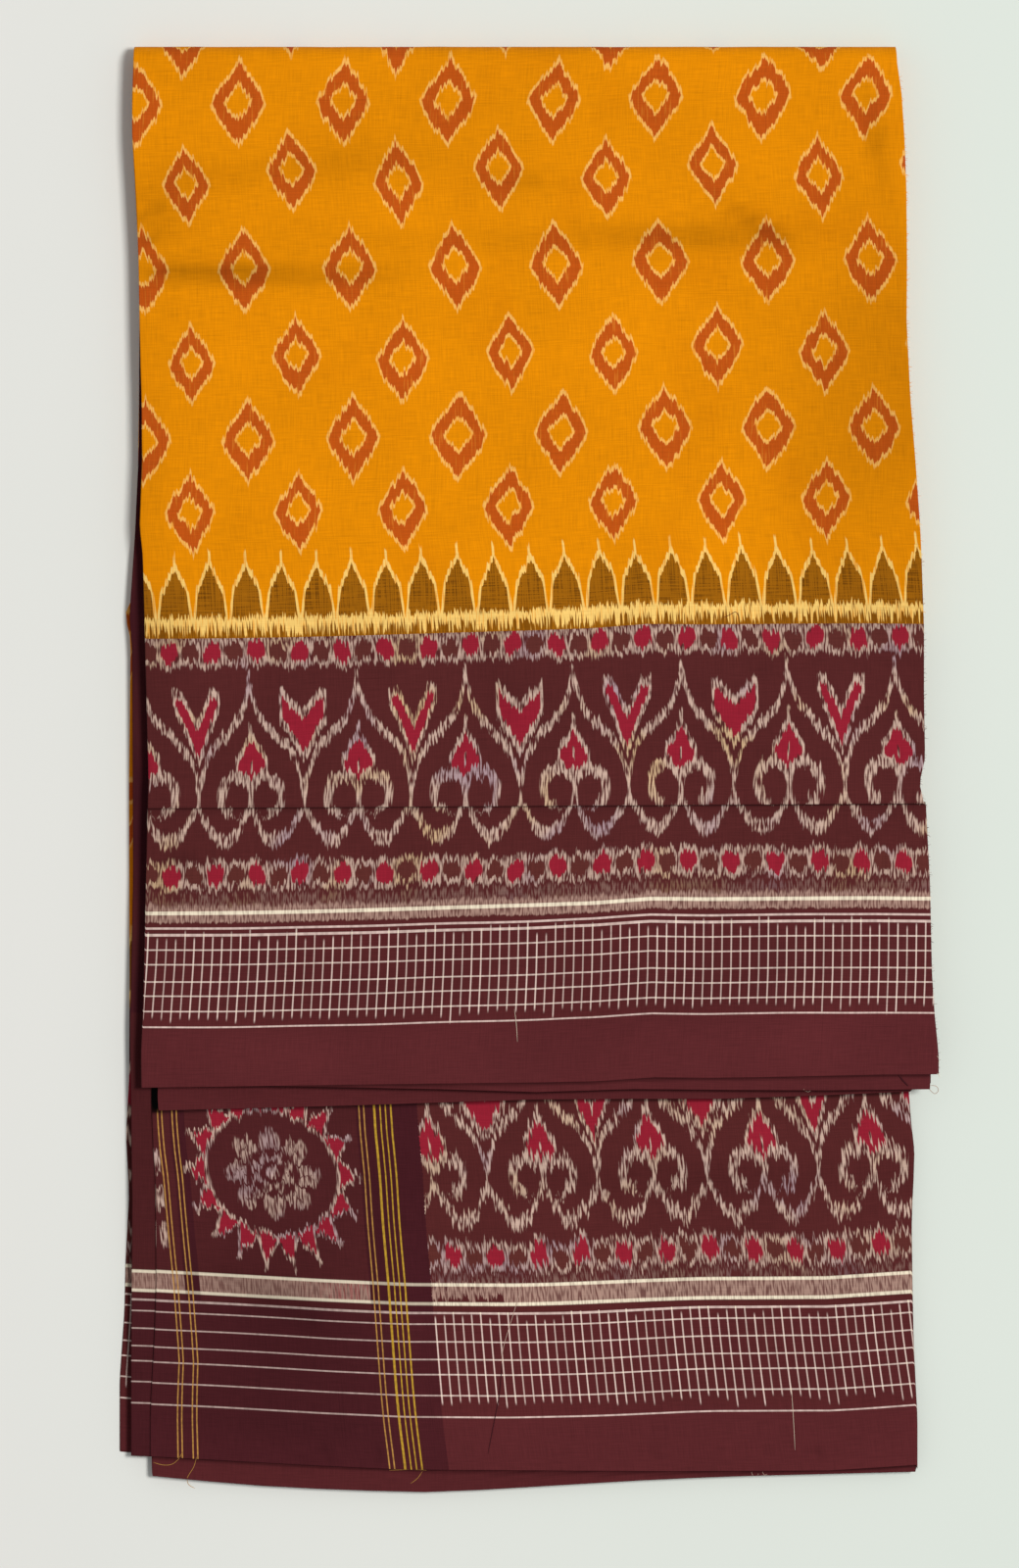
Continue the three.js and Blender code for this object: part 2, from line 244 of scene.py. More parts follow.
@dataclass(frozen=True)
class PaintedContactShadow:
    """A pass that gets a painted contact shadow right below the selvedge of the pass on it."""

    half: Half
    layer: int
    upper_half: Half
    upper: int
    strength: float
    reach: float = 2.0 * MM


# Painted contact shadows, darkening the colour of a pass just below the selvedge that lies on it.
PAINTED_CONTACT_SHADOWS = (
    PaintedContactShadow(Half.FRONT, 13, Half.FRONT, 14, 0.5),
    PaintedContactShadow(Half.FRONT, 0, Half.FRONT, 13, 0.45),
    PaintedContactShadow(Half.BACK, 0, Half.FRONT, 0, 0.7),
    PaintedContactShadow(Half.BACK, 3, Half.BACK, 0, 0.45),
)

NEAR_PASS = 0.6  # cloth on a side fold belongs to a pass that is less than this many passes away

# The cloth slips back under the tuck, turns, and its lip leans out over itself.
TUCK_FOLDS = (
    Fold(-4.0, -4.0, 0.0),
    Fold(-1.5, -1.3, 0.05),
    Fold(-0.6, -0.3, -0.1),
    Fold(0.0, 0.3, -0.3),
    Fold(0.4, 0.5, 0.1),
    Fold(0.8, 0.4, 0.7),
    Fold(1.3, -0.15, 0.96),
    Fold(1.9, -0.1, 1.0),
    Fold(2.9, 0.9, 1.0),
    Fold(4.6, 3.2, 1.0),
    Fold(8.0, 7.6, 0.86),
    Fold(12.0, 12.0, 0.6),
)


@dataclass(frozen=True)
class Tuck:
    """The slack of the outer panel, which lies in one tuck across it."""

    line: float = -17.5 * MM
    tilt: float = 2.3 * MM
    rise: float = 24 * MM
    left_height: float = 0.45 * MM
    right_height: float = 0.95 * MM
    dark: float = 0.62  # share of the colour darkened by a painted shadow under the lip
    lip_reach: tuple[float, float] = (0.9 * MM, 1.25 * MM)  # where the painted shadow under the lip fades
    painted_soft_shade: float = 0.16  # share darkened by painted shade next to the tuck
    soft_reach: float = 5 * MM

    def distance(self, across: float, y: float) -> float:
        """Distance above the tuck's line."""
        return y - self.line - self.tilt * across

    def fold(self, across: float, y: float) -> tuple[float, float]:
        """How far the fold shifts the cloth up the sheet, and the height that it adds.

        Args:
            across: share across the panel.
            y: where the cloth would lie without the fold.

        Returns:
            Both, in metres.
        """
        distance = self.distance(across, y)
        height = mix(self.left_height, self.right_height, across)
        woven = [fold.woven * MM for fold in TUCK_FOLDS]
        if distance <= woven[0]:
            return 0.0, 0.0
        place = float(np.interp(distance, woven, [fold.place * MM for fold in TUCK_FOLDS]))
        if distance >= woven[-1]:
            last = TUCK_FOLDS[-1].rise * height
            return 0.0, last * (1 - smooth(distance, woven[-1], self.rise))
        return place - distance, float(np.interp(distance, woven, [f.rise for f in TUCK_FOLDS])) * height

    def shade(self, across: float, y: float) -> float:
        """Share of painted shadow under the fold's lip and painted shade beside it."""
        distance = self.distance(across, y)
        # Painted shadow under the lip, stronger to the right, plus painted shade beside the tuck.
        deep = mix(0.7, 1.0, across) * self.dark
        lip = 1 - smooth(abs(distance - 0.2 * MM), *self.lip_reach)
        soft = self.painted_soft_shade * (1 - smooth(abs(distance + 1 * MM), 0, self.soft_reach))
        return deep * lip + soft


@dataclass
class Bundle:
    """The whole folded bundle: where any place of the flat cloth lies."""

    front_swells: tuple[Swell, ...] = (
        Swell(-150, 222, 60, 50, -0.6),
        Swell(-20, 238, 90, 60, 0.35),
        Swell(110, 150, 70, 60, 0.4),
        Swell(-60, 60, 80, 55, 0.3),
        Swell(60, -80, 90, 55, -0.3),
        Swell(-120, -65, 70, 55, 0.3),
    )
    slot_swells: tuple[Swell, ...] = (
        Swell(-90, -230, 70, 60, 0.3),
        Swell(60, -250, 80, 60, -0.3),
        Swell(150, -190, 60, 60, 0.2),
        Swell(0, 120, 120, 90, 0.3),
    )
    outer_creases: tuple[Crease, ...] = (
        Crease((-105, 334), (-104, 300), 3.5, -0.35),
        Crease((-55, 334), (-54.5, 300), 4.0, -0.3),
        Crease((164, 301), (164.3, 286), 2.2, -0.5),
        Crease((-178, 268), (-146, 262), 5.0, 0.35),
        Crease((-181, 252), (-150, 246), 6.0, -0.35),
        Crease((-177, -41), (-154, -40), 3.0, -0.3),
        Crease((150, 255), (120, 225), 9.0, 0.25),
        Crease((40, 300), (75, 262), 10.0, -0.22),
        Crease((-140, 10), (-60, 2), 8.0, 0.22),
        Crease((30, -110), (160, -104), 8.0, -0.2),
    )
    inner_creases: tuple[Crease, ...] = (
        Crease((-94.5, -313), (-94, -322), 2.4, -0.35),
        Crease((-172, -181), (-120, -187), 6.0, -0.25),
        Crease((-172, -258), (-110, -262), 6.0, 0.25),
        Crease((60, -300), (62, -322), 4.0, -0.3),
    )
    # Painted shade of the outer panel, standing in for the shade of shallow hollows and creases. The height
    # of each is the share by which it darkens the colour; a negative height is painted light that brightens
    # it.
    outer_painted_shades: tuple[Union[Swell, Crease], ...] = (
        Crease((-186, 231), (-60, 229.5), 4.8, 0.3),
        Crease((-176, 232), (-122, 230), 4.2, 0.14),
        Crease((-183, 266), (-168, 259), 1.6, 0.2),
        Crease((-183, 257), (-169, 252), 1.5, 0.2),
        Crease((-183, 245), (-171, 247), 1.4, 0.16),
        Crease((-120, 244), (130, 249), 5.5, 0.11),
        Crease((30, 250), (128, 246), 6.0, 0.16),
        Crease((92, 263), (120, 245), 3.6, 0.26),
        Crease((-176, 275), (-40, 285), 8.0, 0.12),
        Crease((-30, 274), (20, 272), 5.0, 0.12),
        Crease((155, 322), (168, 262), 5.0, 0.16),
        Crease((164.2, 301), (164.4, 286), 0.9, 0.45),
        Crease((158, 296), (157, 277), 0.9, 0.22),
        Crease((-104.6, 336), (-104.3, 298), 1.1, 0.2),
        Crease((-54.8, 333), (-54.2, 302), 1.1, 0.16),
        Swell(172, 170, 56, 96, 0.24),
        Swell(0, 300, 110, 30, 0.06),
        Swell(-172, 255, 14, 26, 0.12),
        Swell(-178, 60, 14, 130, 0.12),
        Crease((-150, 5), (-110, -20), 9.0, 0.1),
        Crease((-20, 60), (-8, 20), 10.0, 0.08),
        Crease((-170, -41), (-148, -40), 1.2, 0.25),
        Swell(-60, -100, 120, 28, 0.1),
        Swell(110, -96, 70, 26, 0.1),
        Swell(-115, -132, 50, 12, -0.12),
        Swell(-35, -128, 26, 18, -0.12),
        Swell(100, -128, 46, 16, -0.12),
        Swell(150, -118, 26, 20, -0.08),
    )
    # The same painted shade, and painted light where negative, for the inner panel.
    inner_painted_shades: tuple[Union[Swell, Crease], ...] = (
        Swell(-112, -254, 40, 40, 0.2),
        Crease((-152, -232), (-88, -258), 7.0, 0.16),
        Crease((-173.6, -140), (-173.6, -160), 2.4, 0.5),
        Crease((-172, -300), (-60, -308), 8.0, 0.1),
        Swell(60, -190, 130, 9, 0.14),
        Swell(-55, -250, 9, 60, -0.12),
        Swell(0, -262, 10, 46, -0.08),
        Swell(120, -258, 60, 40, 0.05),
        Crease((-94.5, -311), (-94, -323), 1.6, 0.3),
        Crease((-70, -314), (-69, -323), 1.8, 0.2),
        Crease((60, -312), (61, -321), 1.8, 0.2),
        Crease((-10, -314), (-9.5, -323), 1.8, 0.18),
        Crease((135, -314), (136, -321), 1.8, 0.16),
    )
    tuck: Tuck = field(default_factory=Tuck)
    settle_reach: float = 45 * MM
    ripple: float = 0.16 * MM
    painted_back_shade: float = 0.1  # share of painted shade on passes inside the back half
    painted_front_shade: float = 0.06  # the same painted shade inside the front half
    seed: int = 11

    def __post_init__(self) -> None:
        """Reads the outlines and lays out every pass's edges."""
        front, back = Half.FRONT, Half.BACK
        self.outlines = {
            ("outer", front): Outline.of_node("outer_panel", front),
            ("second", front): Outline.of_node("front_layer_2", front),
            ("hidden", front): Outline.of_node("hidden_layers", front),
            ("inner", front): Outline.of_node("front_layer_3", front),
            ("outer", back): Outline.of_node("under_panel", back),
            ("hidden", back): Outline.of_node("hidden_layers", back),
            ("third", back): Outline.of_node("inner_layer_2", back),
            ("pallu", back): Outline.of_node("pallu_layer", back),
            ("inner", back): Outline.of_node("inner_panel", back),
        }
        chance = random.Random(self.seed)
        tight = 1.4 * MM
        self.edges: dict[tuple[int, Side], EdgeLine] = {
            (2, Side.LEFT): EdgeLine("hidden", "pallu", tight, 0.0),
            (2, Side.RIGHT): EdgeLine("inner", "inner", 1.8 * MM, 1.8 * MM),
            (1, Side.LEFT): EdgeLine("inner", "inner"),
            (0, Side.RIGHT): EdgeLine("inner", "inner"),
            (12, Side.RIGHT): EdgeLine("second", "outer", 0.0, 0.8 * MM),
            (13, Side.LEFT): EdgeLine("outer", "outer", 0.2 * MM, 0.0),
            (14, Side.RIGHT): EdgeLine("outer", "outer"),
        }
        for depth in range(3, 12):
            side = Side.LEFT if depth % 2 else Side.RIGHT
            inset = chance.uniform(-0.6, 1.4) * MM
            self.edges[(depth, side)] = EdgeLine("hidden", "hidden", inset, chance.uniform(0, 2) * MM)
        self.edges[(3, Side.LEFT)] = EdgeLine("hidden", "third", 0.6 * MM, 0.0)
        self.partners = {(1, Side.RIGHT): (2, Side.RIGHT), (0, Side.LEFT): (1, Side.LEFT)}
        self.partners[(3, Side.RIGHT)] = (0, Side.RIGHT)
        for depth in range(4, 15):
            side = Side.RIGHT if depth % 2 else Side.LEFT
            self.partners[(depth, side)] = (depth - 1, side)
        self.fronts = {14: "outer", 13: "second", 0: "inner"}
        self.backs = {14: "outer", 13: "outer", 3: "third", 2: "pallu", 1: "pallu", 0: "inner"}
        self.hem_shift = {depth: chance.uniform(0.3, 2.0) * MM for depth in range(1, 13)}

    @staticmethod
    def depth(layer: float) -> float:
        """Depth of a pass from the slot."""
        return FIRST_DEPTH + PASS_PITCH * layer

    def edge(self, layer: int, side: Side, half: Half, y: float) -> float:
        """Place of a pass's side edge.

        Args:
            layer: the pass, by how deep it lies.
            side: which edge.
            half: half of the bundle.
            y: height up the sheet.

        Returns:
            The edge's x.
        """
        key = (layer, side)
        line = self.edges[self.partners.get(key, key)]
        front = half is Half.FRONT
        outline = self.outlines[(line.front if front else line.back, half)]
        inset = line.inset_front if front else line.inset_back
        wave = 0.25 * MM * math.sin(y / (23 * MM) + layer * 1.7) if inset else 0.0
        return outline.edge(side, y) - side.value * (inset + wave)

    def hem(self, layer: int, half: Half, across: float) -> float:
        """Height of a pass's selvedge at a share across it."""
        names = self.fronts if half is Half.FRONT else self.backs
        hidden = layer not in names
        outline = self.outlines[(names.get(layer, "hidden"), half)]
        shift = self.hem_shift[layer] if hidden else (0.7 * MM if layer in (1, 13) else 0.0)
        wave = 0.4 * MM * math.sin(9 * across + layer) if hidden else 0.0
        if layer == 13 and half is Half.FRONT:
            shift = 0.0
        return outline.hem(across) + shift + wave

    def lift(self, half: Half, layer: float, x: float, y: float) -> float:
        """Height that the lie of the cloth adds at a place.

        Args:
            half: half of the bundle.
            layer: how deep the cloth lies there, in passes.
            x: place to the right.
            y: place up the sheet.

        Returns:
            The height to add.
        """
        settle = smooth(FOLD_LINE - y, 0, self.settle_reach)
        share = self.depth(layer) / SLOT_HEIGHT
        slot = settle * total(self.slot_swells, x, y) * MM
        if half is Half.BACK:
            height = slot * (1 - share)
            if layer == 0:
                height += total(self.inner_creases, x, y) * MM
                height += self.ripple * self.roughness(x, y, 3.0)
            return height
        height = slot + settle * share * total(self.front_swells, x, y) * MM
        height += settle * share * self.ripple * self.roughness(x, y, 7.0)
        if layer > OUTERMOST - NEAR_PASS:
            height += total(self.outer_creases, x, y) * MM
        return height

    def painted_shade(self, half: Half, layer: float, x: float, y: float, across: float) -> float:
        """Share of painted shade at a place: shade painted for hollows and creases, under the tuck and
        below selvedges, or painted light where it is negative.

        Args:
            half: half of the bundle.
            layer: how deep the cloth lies there, in passes.
            x: place to the right.
            y: place up the sheet.
            across: share across the pass.

        Returns:
            The share.
        """
        shade = self.painted_contact_shadow(half, layer, y, across)
        if half is Half.BACK:
            return shade + (total(self.inner_painted_shades, x, y) if layer < NEAR_PASS else self.painted_back_shade)
        if layer < OUTERMOST - NEAR_PASS:
            return shade + self.painted_front_shade
        return shade + total(self.outer_painted_shades, x, y) + self.tuck.shade(across, y)

    def painted_contact_shadow(self, half: Half, layer: float, y: float, across: float) -> float:
        """Share of painted contact shadow right below a selvedge that lies on this place.

        Args:
            half: half of the bundle.
            layer: how deep the cloth lies there, in passes.
            y: place up the sheet.
            across: share across the pass.

        Returns:
            The share.
        """
        for painted_contact_shadow in PAINTED_CONTACT_SHADOWS:
            if painted_contact_shadow.half is half and abs(painted_contact_shadow.layer - layer) < 0.5:
                below = self.hem(painted_contact_shadow.upper, painted_contact_shadow.upper_half, across) - y
                return painted_contact_shadow.strength * (1 - smooth(below, 0.5 * MM, painted_contact_shadow.reach))
        return 0.0

    @staticmethod
    def roughness(x: float, y: float, seed: float) -> float:
        """Uneven lie of handled cloth, from about -1 to 1."""
        broad = noise.noise(Vector((x * 18, y * 14, seed)))
        fine = noise.noise(Vector((x * 46, y * 38, seed + 5)))
        return broad + 0.45 * fine


# ---- stations of the flat cloth


@dataclass(frozen=True)
class Column:
    """A line of the grid that runs from selvedge to selvedge, at one place along the warp."""

    along: float  # metres along the warp
    layer: int  # pass it lies in
    across: float  # share across the pass, from the left
    partner: int = -1  # pass on the other side of a side fold, or -1 in the flat
    angle: float = 0.0  # turn round the side fold, from -90 to 90 degrees
    side: Side = Side.LEFT


@dataclass(frozen=True)
class Row:
    """A line of the grid that runs along the warp: on a half of the bundle or round its top fold."""

    half: Union[Half, None]
    distance: float  # metres from the half's selvedge
    turn: float = 0.0  # share round the top fold


def spaced(start: float, end: float, step: float) -> list[float]:
    """Evenly spaced places from start up to, but without, end, at most a step apart."""
    count = max(1, math.ceil((end - start) / step))
    return [mix(start, end, index / count) for index in range(count)]


def half_rows(half: Half, reach: float, step: float, extra: Sequence[float] = ()) -> list[Row]:
    """Rows of one half, from its selvedge up, with a row wherever two zones of the design meet.

    Args:
        half: half of the bundle.
        reach: distance of the last row from the selvedge.
        step: largest distance between rows.
        extra: further places that need a row.

    Returns:
        The rows, from the selvedge up.
    """
    selvedge_rows = [0.0, 0.3 * MM, 1.2 * MM]
    places = list(selvedge_rows)
    for start, end in ((3 * MM, BAND_TOP), (BAND_TOP, BORDER_TOP), (BORDER_TOP, reach)):
        places += spaced(start, end, step)
    if extra:
        places = [place for place in places if not min(extra) - MM < place < max(extra) + MM]
    return [Row(half, place) for place in sorted({*places, *extra})]


@dataclass(frozen=True)
class Crowd:
    """A stretch, by its distance from a half's selvedge, where the rows crowd together."""

    half: Half
    start: float
    end: float
    step: float = 0.85 * MM

    def rows(self) -> list[Row]:
        """Its rows."""
        return [Row(self.half, place) for place in spaced(self.start, self.end, self.step)]


def cloth_rows(
    step: float, turn_steps: int, crowds: Sequence[Crowd], tuck: Union[float, None] = None
) -> list[Row]:
    """Rows of the cloth from the front selvedge, over the top fold, to the back selvedge.

    Args:
        step: largest distance between rows.
        turn_steps: rows round the top fold.
        crowds: stretches with closer rows.
        tuck: distance of the tuck from the selvedge, where the rows crowd together.

    Returns:
        The rows in order.
    """
    back_step = 1.15  # rows of the back half lie further apart by this much
    extra = [tuck + fold.woven * MM for fold in TUCK_FOLDS] if tuck else ()
    halves = {
        Half.FRONT: half_rows(Half.FRONT, FRONT_REACH, step, extra),
        Half.BACK: half_rows(Half.BACK, BACK_REACH, step * back_step),
    }
    for crowd in crowds:
        spread = [row for row in halves[crowd.half] if not crowd.start - MM < row.distance < crowd.end]
        halves[crowd.half] = sorted(spread + crowd.rows(), key=lambda row: row.distance)
    turn = [Row(None, 0, index / turn_steps) for index in range(turn_steps + 1)]
    return halves[Half.FRONT] + turn + halves[Half.BACK][::-1]


def pass_columns(order: int, count: int, first: bool, last: bool) -> list[Column]:
    """Columns of one pass, with the side folds that join it to its neighbours.

    Args:
        order: the pass's place in the length of the cloth.
        count: columns across its flat part.
        first: whether the piece starts here, half way round a side fold or at a cut end.
        last: whether the piece ends here.

    Returns:
        The columns in the order of the warp.
    """
    layer = PASS_ORDER[order]
    start_side = Side.LEFT if order % 2 == 0 else Side.RIGHT
    end_side = Side.RIGHT if order % 2 == 0 else Side.LEFT
    start = PASS_LENGTH * order
    before = PASS_ORDER[order - 1] if order else -1
    after = PASS_ORDER[order + 1] if order + 1 < len(PASS_ORDER) else -1

    def fold_length(other: int) -> float:
        """Half the cloth that goes round a side fold."""
        return PASS_PITCH * abs(other - layer) / 2 * math.pi / 2 if other >= 0 else 0.0

    def flat(share: float) -> Column:
        """A column of the flat part."""
        along = mix(start + fold_length(before), start + PASS_LENGTH - fold_length(after), share)
        return Column(along, layer, share if start_side is Side.LEFT else 1 - share)

    columns: list[Column] = []
    if before >= 0 and first:
        columns += [
            Column(start + fold_length(before) * angle / 90, layer, 0.0, before, angle, start_side)
            for angle in (0.0, 45.0)
        ]
    ends = (0.0, 0.0015, 0.006)
    inner = [mix(ends[-1], 1 - ends[-1], index / count) for index in range(1, count)]
    columns += [flat(share) for share in (*ends, *inner, *(1 - end for end in reversed(ends)))]
    if after >= 0:
        angles = (-45.0, 0.0) if last else (-45.0, 0.0, 45.0)
        for angle in angles:
            along = start + PASS_LENGTH + fold_length(after) * angle / 90
            columns.append(Column(along, layer, 1.0, after, angle, end_side))
    return columns


@dataclass(frozen=True)
class Lean:
    """How far cross threads lean to the right: most next to the selvedge, and less further from it."""

    most: float
    least: float
    held: float  # distance from the selvedge up to which they lean most
    reach: float  # distance from the selvedge at which they lean least
    fall: float  # how much faster the lean is lost at first

    def at(self, distance: float) -> float:
        """Lean at a distance from the selvedge."""
        share = min(max((distance - self.held) / (self.reach - self.held), 0.0), 1.0)
        return mix(self.least, self.most, (1 - share) ** self.fall)


LEFT_LEAN = Lean(most=12 * MM, least=2 * MM, held=48 * MM, reach=160 * MM, fall=1.4)
MAIN_LEAN = Lean(most=14 * MM, least=0.0, held=0.0, reach=160 * MM, fall=1.3)

# How much lower the design lies than the selvedge below it says.
FRONT_SLACK = 1.2 * MM  # at the lowest place of one soft wave across the outer panel
SLACK_LOWEST = 0.13  # share across the panel where that place is
SLACK_WAVE = 1.1  # length of the wave, in widths of the panel
TOP_SLACK = 2 * MM  # at the right end of the top fold
BACK_SLACK = 3 * MM  # in the left half of the inner panel
BACK_TAUT = -0.5 * MM  # at its right


def low_slack(across: float) -> float:
    """How much lower the outer panel's design lies near its selvedge."""
    return FRONT_SLACK * math.cos(2 * math.pi * (across - SLACK_LOWEST) / SLACK_WAVE)


def top_slack(across: float) -> float:
    """The same near the top fold."""
    return TOP_SLACK * across**2


def back_slack(across: float) -> float:
    """The same on the inner panel."""
    return mix(BACK_SLACK, BACK_TAUT, smooth(across, 0.45, 0.75))


def front_slack(across: float, distance: float) -> float:
    """How much lower the outer panel's design lies at a share across it and a distance up it."""
    top = smooth(distance, 250 * MM, FRONT_REACH - 2 * MM)
    return mix(low_slack(across), top_slack(across), top) * smooth(distance, 0, SELVEDGE_EASE)


def lean(across: float, distance: float) -> float:
    """How far the inner panel's cross threads lean to the right at a place."""
    left_share = 0.28  # share of the panel over which the left edge's lean gives way
    share = min(across / left_share, 1.0)
    return mix(LEFT_LEAN.at(distance), MAIN_LEAN.at(distance), share)


def outer_lean(across: float, distance: float) -> float:
    """How far the outer panel's cross threads lean to the left near its selvedge."""
    most, left_share = 1.7 * MM, 0.6
    return most * max(1 - across / left_share, 0) * (1 - smooth(distance, 24 * MM, 80 * MM))


def outer_spread(y: float) -> float:
    """Width on the sheet of a metre along the outer pass, a little slacker towards its selvedge."""
    return mix(0.982, 0.994, smooth(FOLD_LINE - y, 120 * MM, 380 * MM))


def tuck_row(bundle: Bundle) -> float:
    """Woven distance of the tuck from the front selvedge, in the middle of the outer pass."""
    middle = bundle.tuck.line + bundle.tuck.tilt / 2 - bundle.hem(OUTERMOST, Half.FRONT, 0.5)
    return middle + low_slack(0.5)


# A point, its flat place in metres and its share of painted shade.
Placed = tuple[Vector, tuple[float, float], float]


@dataclass
class FoldedCloth:
    """Moves flat cloth into the bundle."""

    bundle: Bundle

    def place(self, column: Column, row: Row) -> Placed:
        """Where a place of the flat cloth lies.

        Args:
            column: its line along the weft.
            row: its line along the warp.

        Returns:
            The point, its flat place in metres and its share of painted shade.
        """
        across = column.across if column.partner < 0 else (0.0 if column.side is Side.LEFT else 1.0)
        if row.half is None:
            return self._on_turn(column, across, row.turn)
        half = row.half
        hem = self.bundle.hem(column.layer, half, across)
        if column.partner >= 0:
            other = self.bundle.hem(column.partner, half, across)
            hem = mix(hem, other, 0.5 + math.sin(math.radians(column.angle)) / 2)
        distance, woven = self._distances(column, half, row.distance, across, hem)
        y = hem + distance
        x, layer = self._sideways(column, half, y)
        z = SLOT_HEIGHT + half.value * self.bundle.depth(layer) + self.bundle.lift(half, layer, x, y)
        # Share of painted shade here, multiplied into the colour by the materials.
        painted_shade = self.bundle.painted_shade(half, layer, x, y, across)
        along = column.along
        if half is Half.BACK and column.layer == 0:
            along -= lean(column.across, woven)
        if column.layer == OUTERMOST:
            left, right = (self.bundle.edge(OUTERMOST, side, half, y) for side in Side)
            width = right - left
            along += column.across * (width / outer_spread(y) - PASS_LENGTH)
            along += outer_lean(column.across, woven) if half is Half.FRONT else 0.0
        if half is Half.FRONT and column.layer == OUTERMOST and column.partner < 0:
            shift, rise = self.bundle.tuck.fold(across, y)
            y, z = y + shift, z + rise
        flat = woven if half is Half.FRONT else CLOTH_WIDTH - woven
        return Vector((x, y, z)), (along, flat), painted_shade

    def _distances(
        self, column: Column, half: Half, distance: float, across: float, hem: float
    ) -> tuple[float, float]:
        """Distance of a row from the selvedge as it lies, and as it was woven.

        Args:
            column: line along the weft.
            half: half of the bundle.
            distance: the row's own distance.
            across: share across the pass.
            hem: height of the selvedge.

        Returns:
            Both distances.
        """
        if half is Half.BACK:
            return distance - back_slack(across) * smooth(distance, 0, SELVEDGE_EASE), distance
        if column.layer < 13:
            return distance, distance
        slack = front_slack(across, distance)
        tuck = self.bundle.tuck
        middle = tuck_row(self.bundle)
        moved = tuck.line + tuck.tilt * across - hem - (middle - low_slack(across))
        near = 1 - smooth(abs(distance - middle), 14 * MM, 40 * MM)
        return distance - slack + moved * near, distance + moved * near

    def _sideways(self, column: Column, half: Half, y: float) -> tuple[float, float]:
        """Place to the right, and depth in passes, of a place on a half.

        Args:
            column: line along the weft.
            half: half of the bundle.
            y: height up the sheet.

        Returns:
            The place and the depth.
        """
        bundle = self.bundle
        if column.partner >= 0:
            radius = PASS_PITCH * abs(column.partner - column.layer) / 2
            edge = bundle.edge(column.layer, column.side, half, y)
            turn = math.radians(column.angle)
            layer = mix(column.layer, column.partner, 0.5 + math.sin(turn) / 2)
            if column.angle > 0 and column.along % PASS_LENGTH < PASS_LENGTH / 2 and self._opens(column):
                layer = mix(column.partner, column.layer, 0.5 + math.sin(turn) / 2)
            return edge - column.side.value * radius * (1 - math.cos(turn)), layer
        left = bundle.edge(column.layer, Side.LEFT, half, y) + self._radius(column.layer, Side.LEFT)
        right = bundle.edge(column.layer, Side.RIGHT, half, y) - self._radius(column.layer, Side.RIGHT)
        return mix(left, right, column.across), column.layer

    @staticmethod
    def _opens(column: Column) -> bool:
        """Whether the column starts a piece, so that its own pass comes after the fold."""
        order = PASS_ORDER.index(column.layer)
        return order > 0 and PASS_ORDER[order - 1] == column.partner

    def _radius(self, layer: int, side: Side) -> float:
        """Radius of the side fold that ends a pass, or 0 at a cut end."""
        order = PASS_ORDER.index(layer)
        starts_left = order % 2 == 0
        neighbour = order - 1 if (side is Side.LEFT) == starts_left else order + 1
        if not 0 <= neighbour < len(PASS_ORDER):
            return 0.0
        return PASS_PITCH * abs(PASS_ORDER[neighbour] - layer) / 2

    def _on_turn(
        self, column: Column, across: float, turn: float
    ) -> Placed:
        """Where a place on the top fold lies.

        Args:
            column: line along the weft.
            across: share across the pass.
            turn: share round the fold.

        Returns:
            The point, its flat place and its share of painted shade.
        """
        ends = [self._sideways(column, half, FOLD_LINE) for half in (Half.FRONT, Half.BACK)]
        x, layer = mix(ends[0][0], ends[1][0], turn), ends[0][1]
        depth, angle = self.bundle.depth(layer), math.pi * turn
        front = FOLD_LINE - self.bundle.hem(column.layer, Half.FRONT, across)
        front += top_slack(across) if column.layer > 12 else 0.0
        back = FOLD_LINE - self.bundle.hem(column.layer, Half.BACK, across) + back_slack(across)
        pucker = 0.18 * MM * noise.noise(Vector((x * 60, turn * 2, layer))) * math.sin(angle)
        y = FOLD_LINE + (depth + pucker) * math.sin(angle)
        point = Vector((x, y, SLOT_HEIGHT + depth * math.cos(angle)))
        return point, (column.along, mix(front, CLOTH_WIDTH - back, turn)), 0.0


def put(name: str, data: ID) -> Object:
    """Adds an object with the given data to the scene."""
    body = bpy.data.objects.new(name, data)
    bpy.context.scene.collection.objects.link(body)
    return body


def weave(
    name: str,
    columns: Sequence[Column],
    rows: Sequence[Row],
    place: Callable[[Column, Row], Placed],
    finishes: Sequence[Material],
) -> Object:
    """Makes one piece of cloth from a flat grid.

    Args:
        name: name of the piece.
        columns: its lines along the weft.
        rows: its lines along the warp.
        place: where a column and a row meet, their flat place and the painted shade there.
        finishes: a material for each zone of the design.

    Returns:
        The piece.
    """
    sheet = bmesh.new()
    wide, high = len(columns) - 1, len(rows) - 1
    bmesh.ops.create_grid(sheet, x_segments=wide, y_segments=high, size=0.5)
    flat_map = sheet.loops.layers.uv.new(CLOTH_MAP)
    # Painted shade on each vertex, read by the cloth materials.
    painted_shade_layer = sheet.verts.layers.float.new(PAINTED_SHADE)
    flat: dict[bmesh.types.BMVert, tuple[float, float]] = {}
    for vertex in sheet.verts:
        column = columns[round((vertex.co.x + 0.5) * wide)]
        row = rows[round((vertex.co.y + 0.5) * high)]
        vertex.co, flat[vertex], vertex[painted_shade_layer] = place(column, row)
    for face in sheet.faces:
        face.smooth = True
        for loop in face.loops:
            loop[flat_map].uv = flat[loop.vert]
        face.material_index = zone_at(sum(flat[v][1] for v in face.verts) / len(face.verts)).value
    mesh = bpy.data.meshes.new(name)
    sheet.to_mesh(mesh)
    sheet.free()
    for finish in finishes:
        mesh.materials.append(finish)
    piece = put(name, mesh)
    wall = piece.modifiers.new("cloth_wall", "SOLIDIFY")
    wall.thickness = CLOTH_WALL
    wall.offset = 0
    return piece


